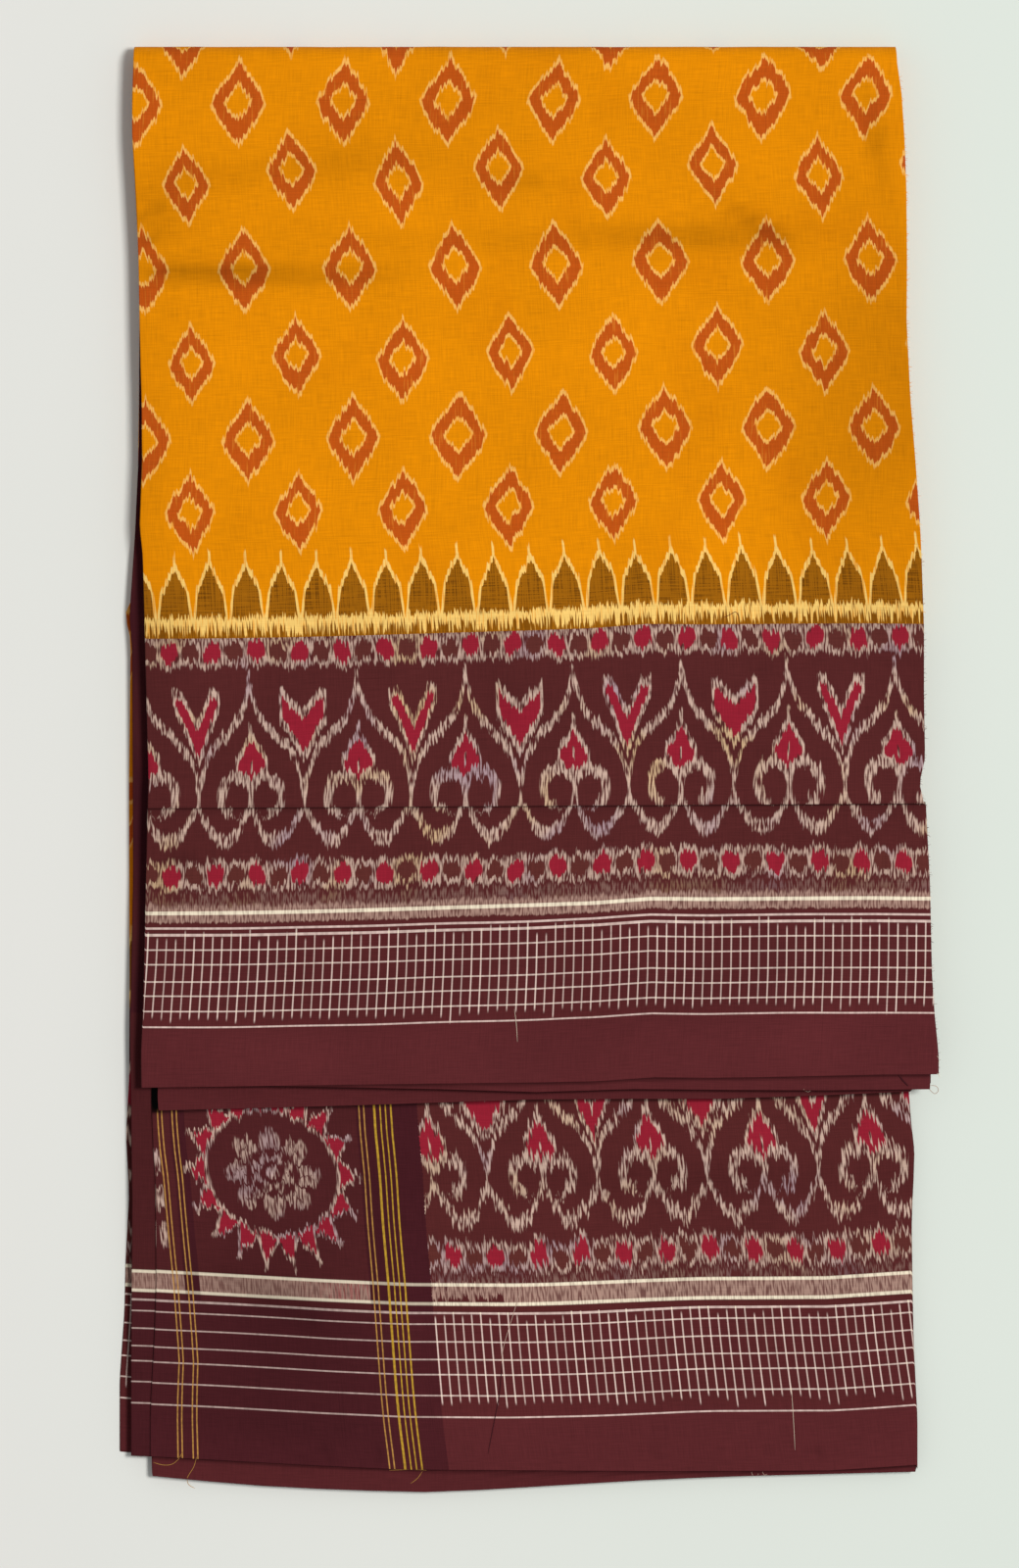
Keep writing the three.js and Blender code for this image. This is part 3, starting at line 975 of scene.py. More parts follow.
def zone_at(across: float) -> Zone:
    """Zone of the design at a distance from the front selvedge."""
    back = CLOTH_WIDTH - across
    if across < BAND_TOP:
        return Zone.FRONT_BAND
    if across < BORDER_TOP:
        return Zone.FRONT_BORDER
    if back < BAND_TOP:
        return Zone.BACK_BAND
    return Zone.BACK_BORDER if back < BORDER_TOP else Zone.BODY


# ---- dyes and node wiring


class Dye(Enum):
    """Colours of the dyed yarns, as red, green and blue from 0 to 255."""

    MANGO = (231, 140, 2)
    MANGO_DEEP = (210, 119, 2)
    RUST = (191, 79, 12)
    CREAM = (248, 186, 96)
    BAND_CREAM = (249, 206, 116)
    OLIVE = (160, 98, 12)
    OLIVE_DEEP = (116, 68, 8)
    MAROON = (86, 37, 37)
    SELVEDGE = (91, 38, 41)
    PALLU = (68, 26, 32)
    RED = (148, 32, 49)
    BROWN = (94, 45, 41)
    PALE = (204, 174, 158)
    STRAW = (206, 172, 128)
    LILAC = (166, 140, 152)
    TAUPE = (178, 144, 130)
    IVORY = (248, 235, 208)
    LINE = (222, 196, 186)
    GOLD = (196, 146, 74)
    YELLOW = (196, 156, 50)

    @property
    def linear(self) -> tuple[float, float, float, float]:
        """The colour as Blender's shaders take it."""

        def straighten(level: int) -> float:
            """One channel without its display curve."""
            share = level / 255
            return share / 12.92 if share <= 0.04045 else ((share + 0.055) / 1.055) ** 2.4

        red, green, blue = (straighten(level) for level in self.value)
        return (red, green, blue, 1.0)


Operand = Union["Wire", float]
Tint = Union["Wire", Dye]


def add_node(tree: NodeTree, kind: str, **inputs: Union[float, tuple[float, ...]]) -> Node:
    """Adds a shader node and sets its inputs.

    Args:
        tree: tree that gets the node.
        kind: Blender's name for it, without "ShaderNode".
        inputs: values by the inputs' names, with an underscore for each space.

    Returns:
        The node.
    """
    node = tree.nodes.new("ShaderNode" + kind)
    for name, value in inputs.items():
        node.inputs[name.replace("_", " ")].default_value = value
    return node


def plug(tree: NodeTree, value: Union[Operand, Tint], socket: NodeSocket) -> None:
    """Joins a wire to a socket, or sets the socket where the value is a number or a dye.

    Args:
        tree: tree that holds the socket.
        value: what to feed it.
        socket: the socket.
    """
    if isinstance(value, Wire):
        tree.links.new(value.socket, socket)
    else:
        socket.default_value = value.linear if isinstance(value, Dye) else value


class Wire:
    """A value that flows through a material's nodes. Arithmetic on it adds the nodes that work it out."""

    def __init__(self, tree: NodeTree, socket: NodeSocket) -> None:
        """Takes a node's output and the tree that holds the node."""
        self.tree = tree
        self.socket = socket

    def math(self, operation: str, *others: Operand) -> "Wire":
        """Adds a math node.

        Args:
            operation: Blender's name for the operation.
            others: its further inputs.

        Returns:
            The node's result.
        """
        node = add_node(self.tree, "Math")
        node.operation = operation
        for socket, value in zip(node.inputs, (self, *others), strict=False):
            plug(self.tree, value, socket)
        return Wire(self.tree, node.outputs[0])

    def __add__(self, other: Operand) -> "Wire":
        """Sum."""
        return self.math("ADD", other)

    def __sub__(self, other: Operand) -> "Wire":
        """Difference."""
        return self.math("SUBTRACT", other)

    def __rsub__(self, other: float) -> "Wire":
        """Difference from a number: other - self."""
        return self.math("MULTIPLY_ADD", -1.0, other)

    def __mul__(self, other: Operand) -> "Wire":
        """Product."""
        return self.math("MULTIPLY", other)

    def __truediv__(self, other: Operand) -> "Wire":
        """Quotient."""
        return self.math("DIVIDE", other)

    def __abs__(self) -> "Wire":
        """Size without its sign."""
        return self.math("ABSOLUTE")

    __radd__ = __add__
    __rmul__ = __mul__

    def least(self, other: Operand) -> "Wire":
        """The lesser of two values."""
        return self.math("MINIMUM", other)

    def most(self, other: Operand) -> "Wire":
        """The greater of two values."""
        return self.math("MAXIMUM", other)

    def whole(self) -> "Wire":
        """The nearest whole number."""
        return self.math("ROUND")

    def over(self, edge: float) -> "Wire":
        """1 above an edge and 0 below it."""
        return self.math("GREATER_THAN", edge)

    def power(self, exponent: float) -> "Wire":
        """The value, kept above 0, to a power."""
        return self.most(0.0).math("POWER", exponent)

    def power_of(self, exponent: float) -> "Wire":
        """The value's size to a power."""
        return abs(self).math("POWER", exponent)

    def ramp(self, start: Operand, end: Operand) -> "Wire":
        """Eased share from 0 at start to 1 at end.

        Args:
            start: value that gives 0.
            end: value that gives 1, above or below start.

        Returns:
            The share.
        """
        node = add_node(self.tree, "MapRange")
        node.interpolation_type = "SMOOTHSTEP"
        for socket, value in zip(node.inputs, (self, start, end), strict=False):
            plug(self.tree, value, socket)
        return Wire(self.tree, node.outputs[0])

    def stripe(self, centre: Operand, half: Operand, soft: float = 0.12) -> "Wire":
        """1 on a stripe of a half width about a centre, and 0 beyond its soft edge."""
        return abs(self - centre).ramp(half + soft, half - soft)

    def curve(self, reach: float, low: float, high: float, points: Iterable[tuple[float, float]]) -> "Wire":
        """Reads a smooth curve.

        Args:
            reach: largest value along the curve.
            low: value of the curve's foot.
            high: value of the curve's top.
            points: places that the curve goes through.

        Returns:
            The curve's value.
        """
        node = add_node(self.tree, "FloatCurve")
        line = node.mapping.curves[0]
        scaled = [(x / reach, (y - low) / (high - low)) for x, y in points]
        line.points[0].location, line.points[1].location = scaled[0], scaled[-1]
        for place in scaled[1:-1]:
            line.points.new(*place)
        node.mapping.update()
        plug(self.tree, self / reach, node.inputs["Value"])
        return Wire(self.tree, node.outputs[0]) * (high - low) + low


def nearest_of(places: Iterable[Wire]) -> Wire:
    """The greatest of several shares."""
    wires = iter(places)
    result = next(wires)
    for wire in wires:
        result = result.most(wire)
    return result


class Draft:
    """A cloth material while it is worked out, in the cloth's own millimetres."""

    def __init__(self, name: str) -> None:
        """Starts a material.

        Args:
            name: its name.
        """
        self.material = bpy.data.materials.new(name)
        self.material.use_nodes = True
        self.tree = self.material.node_tree
        self.tree.nodes.clear()
        flat = add_node(self.tree, "UVMap")
        flat.uv_map = CLOTH_MAP
        self.flat = flat.outputs[0]
        split = add_node(self.tree, "SeparateXYZ")
        self.tree.links.new(self.flat, split.inputs[0])
        self.along = Wire(self.tree, split.outputs[0]) * 1000
        self.across = Wire(self.tree, split.outputs[1]) * 1000

    def noise(self, along: float, across: float, seed: float, detail: float = 0.0) -> Wire:
        """Soft noise, from about -1 to 1.

        Args:
            along: changes for each millimetre along the warp.
            across: changes for each millimetre along the weft.
            seed: shift that keeps two noises apart.
            detail: finer octaves.

        Returns:
            The noise.
        """
        scale = add_node(self.tree, "VectorMath")
        scale.operation = "MULTIPLY_ADD"
        self.tree.links.new(self.flat, scale.inputs[0])
        scale.inputs[1].default_value = (along * 1000, across * 1000, 0)
        scale.inputs[2].default_value = (seed * 7.31, seed * 3.17, 0)
        texture = add_node(self.tree, "TexNoise", Scale=1.0, Detail=detail)
        texture.noise_dimensions = "2D"
        self.tree.links.new(scale.outputs[0], texture.inputs["Vector"])
        return (Wire(self.tree, texture.outputs[0]) - 0.5) * 3.2

    def chance(self, first: Operand, second: Operand = 0.0) -> Wire:
        """A random share from 0 to 1 for each pair of whole numbers.

        Args:
            first: the first number.
            second: the second number.

        Returns:
            The share.
        """
        join = add_node(self.tree, "CombineXYZ")
        plug(self.tree, first, join.inputs[0])
        plug(self.tree, second, join.inputs[1])
        texture = add_node(self.tree, "TexWhiteNoise")
        texture.noise_dimensions = "2D"
        self.tree.links.new(join.outputs[0], texture.inputs["Vector"])
        return Wire(self.tree, texture.outputs["Value"])

    def dye(self, under: Tint, over: Tint, share: Operand) -> Wire:
        """Lays one colour over another.

        Args:
            under: colour below.
            over: colour above.
            share: how much of the upper one shows.

        Returns:
            The mixed colour.
        """
        node = add_node(self.tree, "Mix")
        node.data_type = "RGBA"
        plug(self.tree, share, node.inputs[0])
        plug(self.tree, under, node.inputs[6])
        plug(self.tree, over, node.inputs[7])
        return Wire(self.tree, node.outputs[2])

    def shader(self, colour: Wire, weave_depth: float = 0.12) -> NodeSocket:
        """Cotton of a colour, with uneven yarns both ways, darkened by the painted shade stored on the
        mesh.

        Args:
            colour: dyed colour.
            weave_depth: strength of the yarns' relief.

        Returns:
            The shader's output.
        """
        weft = self.noise(1.9, 0.1, 21)
        warp = self.noise(0.1, 1.9, 22)
        cloud = self.noise(0.02, 0.022, 23, 3.0)
        slub = self.noise(2.4, 0.012, 24).ramp(0.85, 1.3) + self.noise(0.012, 2.4, 25).ramp(0.85, 1.3)
        # Painted shade from the mesh attribute darkens the colour, and brightens it as painted light where
        # negative; the yarn noise is the cloth's own tone.
        painted_shade = add_node(self.tree, "Attribute")
        painted_shade.attribute_name = PAINTED_SHADE
        lit = 1 - Wire(self.tree, painted_shade.outputs["Fac"])
        shade = (1 + weft * 0.06 + warp * 0.06 + cloud * 0.06 - slub * 0.12) * lit
        scale = add_node(self.tree, "VectorMath")
        scale.operation = "SCALE"
        plug(self.tree, colour, scale.inputs[0])
        plug(self.tree, shade, scale.inputs["Scale"])
        relief = add_node(self.tree, "Bump", Strength=weave_depth, Distance=0.1 * MM)
        plug(self.tree, weft + warp, relief.inputs["Height"])
        sheen = {"Sheen_Weight": 0.02, "Sheen_Roughness": 0.45}
        cotton = add_node(self.tree, "BsdfPrincipled", Roughness=0.86, Specular_IOR_Level=0.04, **sheen)
        self.tree.links.new(scale.outputs[0], cotton.inputs["Base Color"])
        self.tree.links.new(relief.outputs[0], cotton.inputs["Normal"])
        return cotton.outputs[0]

    def finish(self, shader: NodeSocket) -> Material:
        """Joins the shader to the output.

        Args:
            shader: the shader's output.

        Returns:
            The material.
        """
        output = add_node(self.tree, "OutputMaterial")
        self.tree.links.new(shader, output.inputs["Surface"])
        return self.material

    def choose(
        self, share: Wire, first: NodeSocket, second: NodeSocket
    ) -> NodeSocket:
        """One shader where a share is 0 and another where it is 1.

        Args:
            share: the share.
            first: shader at 0.
            second: shader at 1.

        Returns:
            The chosen shader's output.
        """
        node = add_node(self.tree, "MixShader")
        plug(self.tree, share, node.inputs[0])
        self.tree.links.new(first, node.inputs[1])
        self.tree.links.new(second, node.inputs[2])
        return node.outputs[0]


# ---- the design, in millimetres

PALLU_END = 846.0  # the end piece's last place along the warp
WIDTH_MM = CLOTH_WIDTH / MM


@dataclass(frozen=True)
class Bleed:
    """How far the dye of the resist-tied weft has crept along its threads."""

    thread: float = 1.5
    cluster: float = 1.0
    step: float = 1.5

    @staticmethod
    def luck(draft: Draft) -> Wire:
        """Each weft thread's own luck, from -0.5 to 0.5."""
        threads_per_mm = 1.15
        return draft.chance((draft.along * threads_per_mm).whole()) - 0.5

    def of(self, draft: Draft) -> Wire:
        """How far the design is shifted along each weft thread."""
        fine = draft.noise(1.05, 0.016, 1)
        coarse = draft.noise(0.3, 0.03, 2)
        return fine * self.thread + coarse * self.cluster + self.luck(draft) * self.step


def combed(draft: Draft, seed: float, low: float = -0.75, high: float = 0.5) -> Wire:
    """Share of a pale area that shows, from none where the noise is low to all where it is high."""
    return draft.noise(1.3, 0.19, seed).ramp(low, high)


@dataclass(frozen=True)
class WarpLine:
    """A thin line along the warp, at a distance from the selvedge."""

    distance: float
    half: float = 0.34


@dataclass(frozen=True)
class SelvedgeBand:
    """The plain selvedge and the checked band above it."""

    name: str
    back: bool
    lines: tuple[WarpLine, ...]
    check_pitch: float = 4.32
    check_foot: float = 33.8
    check_head: float = 68.0
    check_half: float = 0.3

    def checks(self, draft: Draft, along: Wire, distance: Wire) -> Wire:
        """Share of the short pale weft threads that cross the lines.

        Args:
            draft: the material.
            along: millimetres along the warp.
            distance: millimetres from the selvedge.

        Returns:
            The share.
        """
        place = along / self.check_pitch
        index = place.whole()
        thread = abs(place - index) * self.check_pitch
        foot = self.check_foot - draft.chance(index) * draft.chance(index, 1.0) * 6.5
        head = draft.chance(index, 2.0) * 6.5 + self.check_head
        strength = draft.chance(index, 3.0) * 0.45 + 0.62
        inside = (distance - foot).least(head - distance).ramp(-1.2, 1.2)
        return thread.ramp(self.check_half + 0.14, self.check_half - 0.1) * inside * strength

    def colour(self, draft: Draft, checked: bool) -> Wire:
        """Colour of the band.

        Args:
            draft: the material.
            checked: whether the short weft threads are there.

        Returns:
            The colour.
        """
        along, across = draft.along, draft.across
        sway = draft.noise(0.016, 0.004, 6) * 0.35
        distance = (WIDTH_MM - across if self.back else across) + sway
        ground = draft.dye(Dye.SELVEDGE, Dye.MAROON, distance.ramp(24, 34) * 0.6)
        ground = ground if checked else draft.dye(ground, Dye.PALLU, 0.75)
        lines = nearest_of(distance.stripe(line.distance, line.half) for line in self.lines)
        lines = lines * (0.86 + draft.noise(0.5, 0.1, 8) * 0.14)
        if not checked:
            gold, share = gold_threads(draft, along)
            return draft.dye(draft.dye(ground, Dye.LINE, lines * 0.72), gold, share)
        checks = self.checks(draft, along, distance)
        crossing = (lines * checks).ramp(0.1, 0.8)
        colour = draft.dye(ground, Dye.LINE, lines.most(checks))
        return draft.dye(colour, Dye.IVORY, crossing)

    def make(self) -> Material:
        """Makes the material, with the end piece's plain lines where the cloth starts."""
        draft = Draft(self.name)
        checked = draft.shader(self.colour(draft, True))
        if not self.back:
            return draft.finish(checked)
        plain = draft.shader(self.colour(draft, False))
        return draft.finish(draft.choose(draft.along.over(PALLU_END), plain, checked))


@dataclass(frozen=True)
class GoldThread:
    """One of the end piece's weft threads of gold, by its place along the warp."""

    place: float
    half: float
    dye: Dye


GOLD_THREADS = (
    GoldThread(720.8, 0.3, Dye.GOLD),
    GoldThread(722.8, 0.3, Dye.GOLD),
    GoldThread(727.8, 0.3, Dye.GOLD),
    GoldThread(729.9, 0.3, Dye.GOLD),
    GoldThread(818.3, 0.3, Dye.GOLD),
    GoldThread(820.6, 0.3, Dye.GOLD),
    GoldThread(825.6, 0.55, Dye.YELLOW),
    GoldThread(828.4, 0.3, Dye.YELLOW),
    GoldThread(830.9, 0.3, Dye.YELLOW),
    GoldThread(833.5, 0.4, Dye.YELLOW),
)


def gold_threads(draft: Draft, along: Wire) -> tuple[Wire, Wire]:
    """The end piece's gold threads.

    Args:
        draft: the material.
        along: millimetres along the warp.

    Returns:
        Their colour and their share.
    """
    share = nearest_of(along.stripe(thread.place, thread.half, 0.14) for thread in GOLD_THREADS)
    twist = 0.82 + draft.noise(1.2, 0.5, 31) * 0.2
    return draft.dye(Dye.GOLD, Dye.YELLOW, along.ramp(823, 824)), share * twist


@dataclass(frozen=True)
class Bend:
    """A place on one of the border's drawn lines, by its distance from the heart's axis."""

    away: float
    height: float
    half: float


# The pointed arch that goes from the foot of one heart up to the peak above the next drop.
OGEE = (
    Bend(0.0, 139.0, 6.0),
    Bend(1.6, 144.5, 4.4),
    Bend(3.0, 150.2, 3.4),
    Bend(7.5, 158.4, 3.0),
    Bend(14.3, 165.4, 2.9),
    Bend(19.7, 172.0, 3.1),
    Bend(22.4, 178.0, 3.9),
    Bend(23.9, 183.5, 4.6),
    Bend(25.2, 188.5, 5.6),
)
# The hanging swag below the curls.
SWAG = (
    Bend(0.0, 131.5, 3.2),
    Bend(3.2, 125.4, 3.2),
    Bend(7.4, 118.6, 3.2),
    Bend(13.0, 114.8, 3.5),
    Bend(18.2, 118.0, 3.2),
    Bend(22.0, 124.0, 3.2),
    Bend(25.2, 131.5, 3.2),
)


@dataclass(frozen=True)
class Heart:
    """A red heart, or the open V that takes its place in every second cell."""

    foot: float
    foot_slope: float
    notch: float
    notch_slope: float
    crown: float
    side: float


HEART = Heart(foot=156.5, foot_slope=1.64, notch=171.2, notch_slope=1.12, crown=181.0, side=9.6)
OPEN_V = Heart(foot=153.6, foot_slope=2.6, notch=166.0, notch_slope=2.15, crown=181.5, side=9.9)


@dataclass(frozen=True)
class Spike:
    """A short upright line of the border."""

    middle: float
    half: float
    thin: float  # distance from its axis at which it is gone
    thick: float  # distance from its axis up to which it is whole
    soft: float = 1.0

    def share(self, away: Wire, height: Wire) -> Wire:
        """Share of the line at a distance from its axis and a height."""
        return away.ramp(self.thin, self.thick) * height.stripe(self.middle, self.half, self.soft)


DROP_SLIT = Spike(150.2, 2.8, 0.6, 0.3, 0.5)
DROP_SPIKE = Spike(164.5, 5.5, 1.0, 0.6)
HEART_STEM = Spike(137.0, 6.0, 0.9, 0.5)
ARCH_PEAK = Spike(189.0, 4.5, 1.0, 0.5)
CURL_CORE = Spike(135.0, 7.5, 0.9, 0.5)


@dataclass(frozen=True)
class Oval:
    """An oval of the curls, by its distance from the drop's axis."""

    away: float
    height: float
    wide: float
    tall: float

    def square(self, away: Wire, height: Wire) -> Wire:
        """Square of the distance from its middle, where its edge is 1."""
        across = ((away - self.away) / self.wide).power_of(2)
        return across + ((height - self.height) / self.tall).power_of(2)


CURL = Oval(8.2, 136.4, 8.2, 10.6)
CURL_HOLE = Oval(6.8, 134.4, 5.8, 8.1)
CURL_HOOK = Oval(11.0, 129.4, 2.9, 2.8)


@dataclass(frozen=True)
class HeartBorder:
    """The broad border of hearts, drops, curls and two rows of dots."""

    name: str
    back: bool
    heart_axis: float  # a heart's place along the warp
    dot_axis: float  # a red dot's place along the warp
    straw: float = 0.8  # how yellow its outlines turn in places
    lift: float = 0.0  # how much further from the selvedge the whole border was tied
    pitch: float = 50.4
    dot_pitch: float = 10.08
    low_dots: float = 99.2
    high_dots: float = 202.6
    low_ivory: float = 80.2  # ivory lines on either side of the back border's taupe band
    high_ivory: float = 89.1
    front_ivory: float = 81.8
    bleed: Bleed = field(default_factory=Bleed)

    def drawn(self, place: Wire, height: Wire, bends: tuple[Bend, ...]) -> Wire:
        """How far inside a drawn line a place is, in the line's own half widths.

        Args:
            place: distance from the heart's axis.
            height: distance from the selvedge.
            bends: the line.

        Returns:
            1 on the line's middle and 0 at its edges.
        """
        reach = bends[-1].away
        low = min(bend.height for bend in bends)
        high = max(bend.height for bend in bends)
        middle = place.curve(reach, low, high, ((bend.away, bend.height) for bend in bends))
        half = place.curve(reach, 0, 8, ((bend.away, bend.half) for bend in bends))
        return 1 - abs(height - middle) / half

    def scroll(self, draft: Draft, along: Wire, height: Wire) -> tuple[Wire, Wire]:
        """Hearts, drops, arches, curls and swags.

        Args:
            draft: the material.
            along: millimetres along the warp.
            height: millimetres from the selvedge, with the bleed in it.

        Returns:
            Shares of the pale outline and of the red.
        """
        cell = (along - self.heart_axis) / self.pitch
        index = cell.whole()
        heart = abs(cell - index) * self.pitch
        drop = self.pitch / 2 - heart
        kind = abs(index.math("MODULO", 2.0)).least(1.0)
        pale = self.drawn(heart, height, OGEE).ramp(-0.1, 0.4)
        pale = pale.most(self.drawn(heart, height, SWAG).ramp(-0.1, 0.4))
        # Heart where kind is 0, open V where it is 1.
        def either(plain: float, opened: float) -> Wire:
            """The heart's size where kind is 0, and the open V's where it is 1."""
            return kind * (opened - plain) + plain

        foot = either(HEART.foot, OPEN_V.foot) + heart * either(HEART.foot_slope, OPEN_V.foot_slope)
        notch = either(HEART.notch, OPEN_V.notch) + heart * either(HEART.notch_slope, OPEN_V.notch_slope)
        crown, side = either(HEART.crown, OPEN_V.crown), either(HEART.side, OPEN_V.side)
        inside = ((height - foot) * 0.45).least((notch - height) * 0.45)
        inside = inside.least((side - heart) * 1.6).least((crown - height) * 0.5)
        red = inside.ramp(-0.2, 0.25)
        pale = pale.most(inside.ramp(-2.4, -1.7))
        # Drop with its spike and slit.
        base = drop * 0.8 + 143.5
        shoulder = 162.2 - drop * 1.65
        inside = ((height - base) * 0.45).least((shoulder - height) * 0.42).least((6.5 - drop) * 1.5)
        red = red.most(inside.ramp(-0.2, 0.25) * (1 - DROP_SLIT.share(drop, height)))
        spikes = [spike.share(drop, height) for spike in (DROP_SPIKE, ARCH_PEAK, CURL_CORE)]
        pale = nearest_of((pale, inside.ramp(-2.0, -1.4), HEART_STEM.share(heart, height), *spikes))
        # Curl: a ring that thins out below, where a hook turns into it.
        outer, hole = (oval.square(drop, height).math("SQRT") for oval in (CURL, CURL_HOLE))
        ring = outer.ramp(1.05, 0.93) * hole.ramp(0.93, 1.06)
        hook = CURL_HOOK.square(drop, height).ramp(1.2, 0.6)
        return nearest_of((pale, ring, hook * 0.9)), red

    def dots(self, draft: Draft, along: Wire, height: Wire) -> tuple[Wire, Wire, Wire]:
        """The two rows of red and brown dots.

        Args:
            draft: the material.
            along: millimetres along the warp.
            height: millimetres from the selvedge, with the bleed in it.

        Returns:
            Shares of the pale halo, of the red and of the brown.
        """
        upper = height.over((self.low_dots + self.high_dots) / 2)
        centre = upper * (self.high_dots - self.low_dots) + self.low_dots
        place = (along - self.dot_axis) / self.dot_pitch
        index = place.whole()
        brown = abs(index.math("MODULO", 2.0)).least(1.0)
        nudge = draft.chance(index, upper) * 1.4 - 0.7
        dot_x = (place - index) * self.dot_pitch / 4.35
        dot_y = (height - centre + nudge) / (4.9 - brown * 0.5)
        away = (dot_x * dot_x + dot_y * dot_y).math("SQRT")
        inside = away.ramp(1.04, 0.9)
        halo = (dot_y * dot_y + dot_x * dot_x * 0.6).math("SQRT").ramp(1.66, 1.36)
        return halo, inside * (1 - brown), inside * brown

    def colour(self, draft: Draft) -> Wire:
        """Colour of the border."""
        along, across = draft.along, draft.across
        distance = WIDTH_MM - across if self.back else across
        bleed = self.bleed.of(draft)
        height = distance - self.lift + bleed
        wander = along + draft.noise(0.02, 0.02, 4) * 0.8
        pale, red = self.scroll(draft, wander, height)
        halo, red_dot, brown_dot = self.dots(draft, wander, height)
        worn = combed(draft, 9)
        tone = draft.noise(0.035, 0.03, 12, 1.0)
        outline = draft.dye(Dye.PALE, Dye.STRAW, tone.ramp(0.1, 0.9) * self.straw)
        outline = draft.dye(outline, Dye.LILAC, tone.ramp(-0.2, -1.0) * 0.8)
        share = nearest_of((pale, halo * 0.85, self.feather(height) * worn)) * worn
        colour = draft.dye(Dye.MAROON, outline, share)
        colour = draft.dye(colour, Dye.BROWN, brown_dot)
        colour = draft.dye(colour, Dye.RED, red.most(red_dot))
        return self.bands(draft, colour, distance, bleed)

    def feather(self, height: Wire) -> Wire:
        """Loose pale streaks below the lower dots, and beyond the upper ones."""
        low = height.stripe(self.low_dots - 11.5, 2.6, 1.2) * 0.22
        high = height.ramp(self.high_dots + 5, self.high_dots + 8) * 0.6
        return low.most(high)

    def bands(self, draft: Draft, colour: Wire, distance: Wire, bleed: Wire) -> Wire:
        """Lays the taupe band and its ivory lines over the foot of the border.

        Args:
            draft: the material.
            colour: colour so far.
            distance: millimetres from the selvedge.
            bleed: shift of the weft's dye.

        Returns:
            The colour.
        """
        worn = combed(draft, 18)
        taupe = draft.dye(Dye.MAROON, Dye.TAUPE, worn * 0.7 + 0.22)
        if self.back:
            half_tied = draft.along.ramp(880.5, 879.5)
            ragged = distance + bleed * (half_tied * 0.7 + 0.2)
            between = ragged.stripe(84.7 + half_tied * 1.3, 4.4 - half_tied * 1.3, 0.4)
            lines = distance.stripe(self.low_ivory, 0.8, 0.3)
            lines = lines.most(distance.stripe(self.high_ivory, 0.75, 0.3))
        else:
            creep = (distance + bleed * 0.7).ramp(86.2, 84.4) * (distance.ramp(88, 84) * 0.3 + 0.7)
            between = (distance + bleed * 0.25).ramp(76.9, 77.9) * creep
            lines = distance.stripe(self.front_ivory, 0.85, 0.25)
        colour = draft.dye(colour, taupe, between)
        return draft.dye(colour, Dye.IVORY, lines * (worn * 0.35 + 0.62))

    def make(self) -> Material:
        """Makes the material, with the end piece's medallion where the cloth starts."""
        draft = Draft(self.name)
        border = draft.shader(self.colour(draft))
        if not self.back:
            return draft.finish(border)
        pallu = draft.shader(PalluBorder().colour(draft))
        edge = draft.along + draft.noise(0.3, 1.2, 14) * 0.25
        return draft.finish(draft.choose(edge.over(PALLU_END), pallu, border))


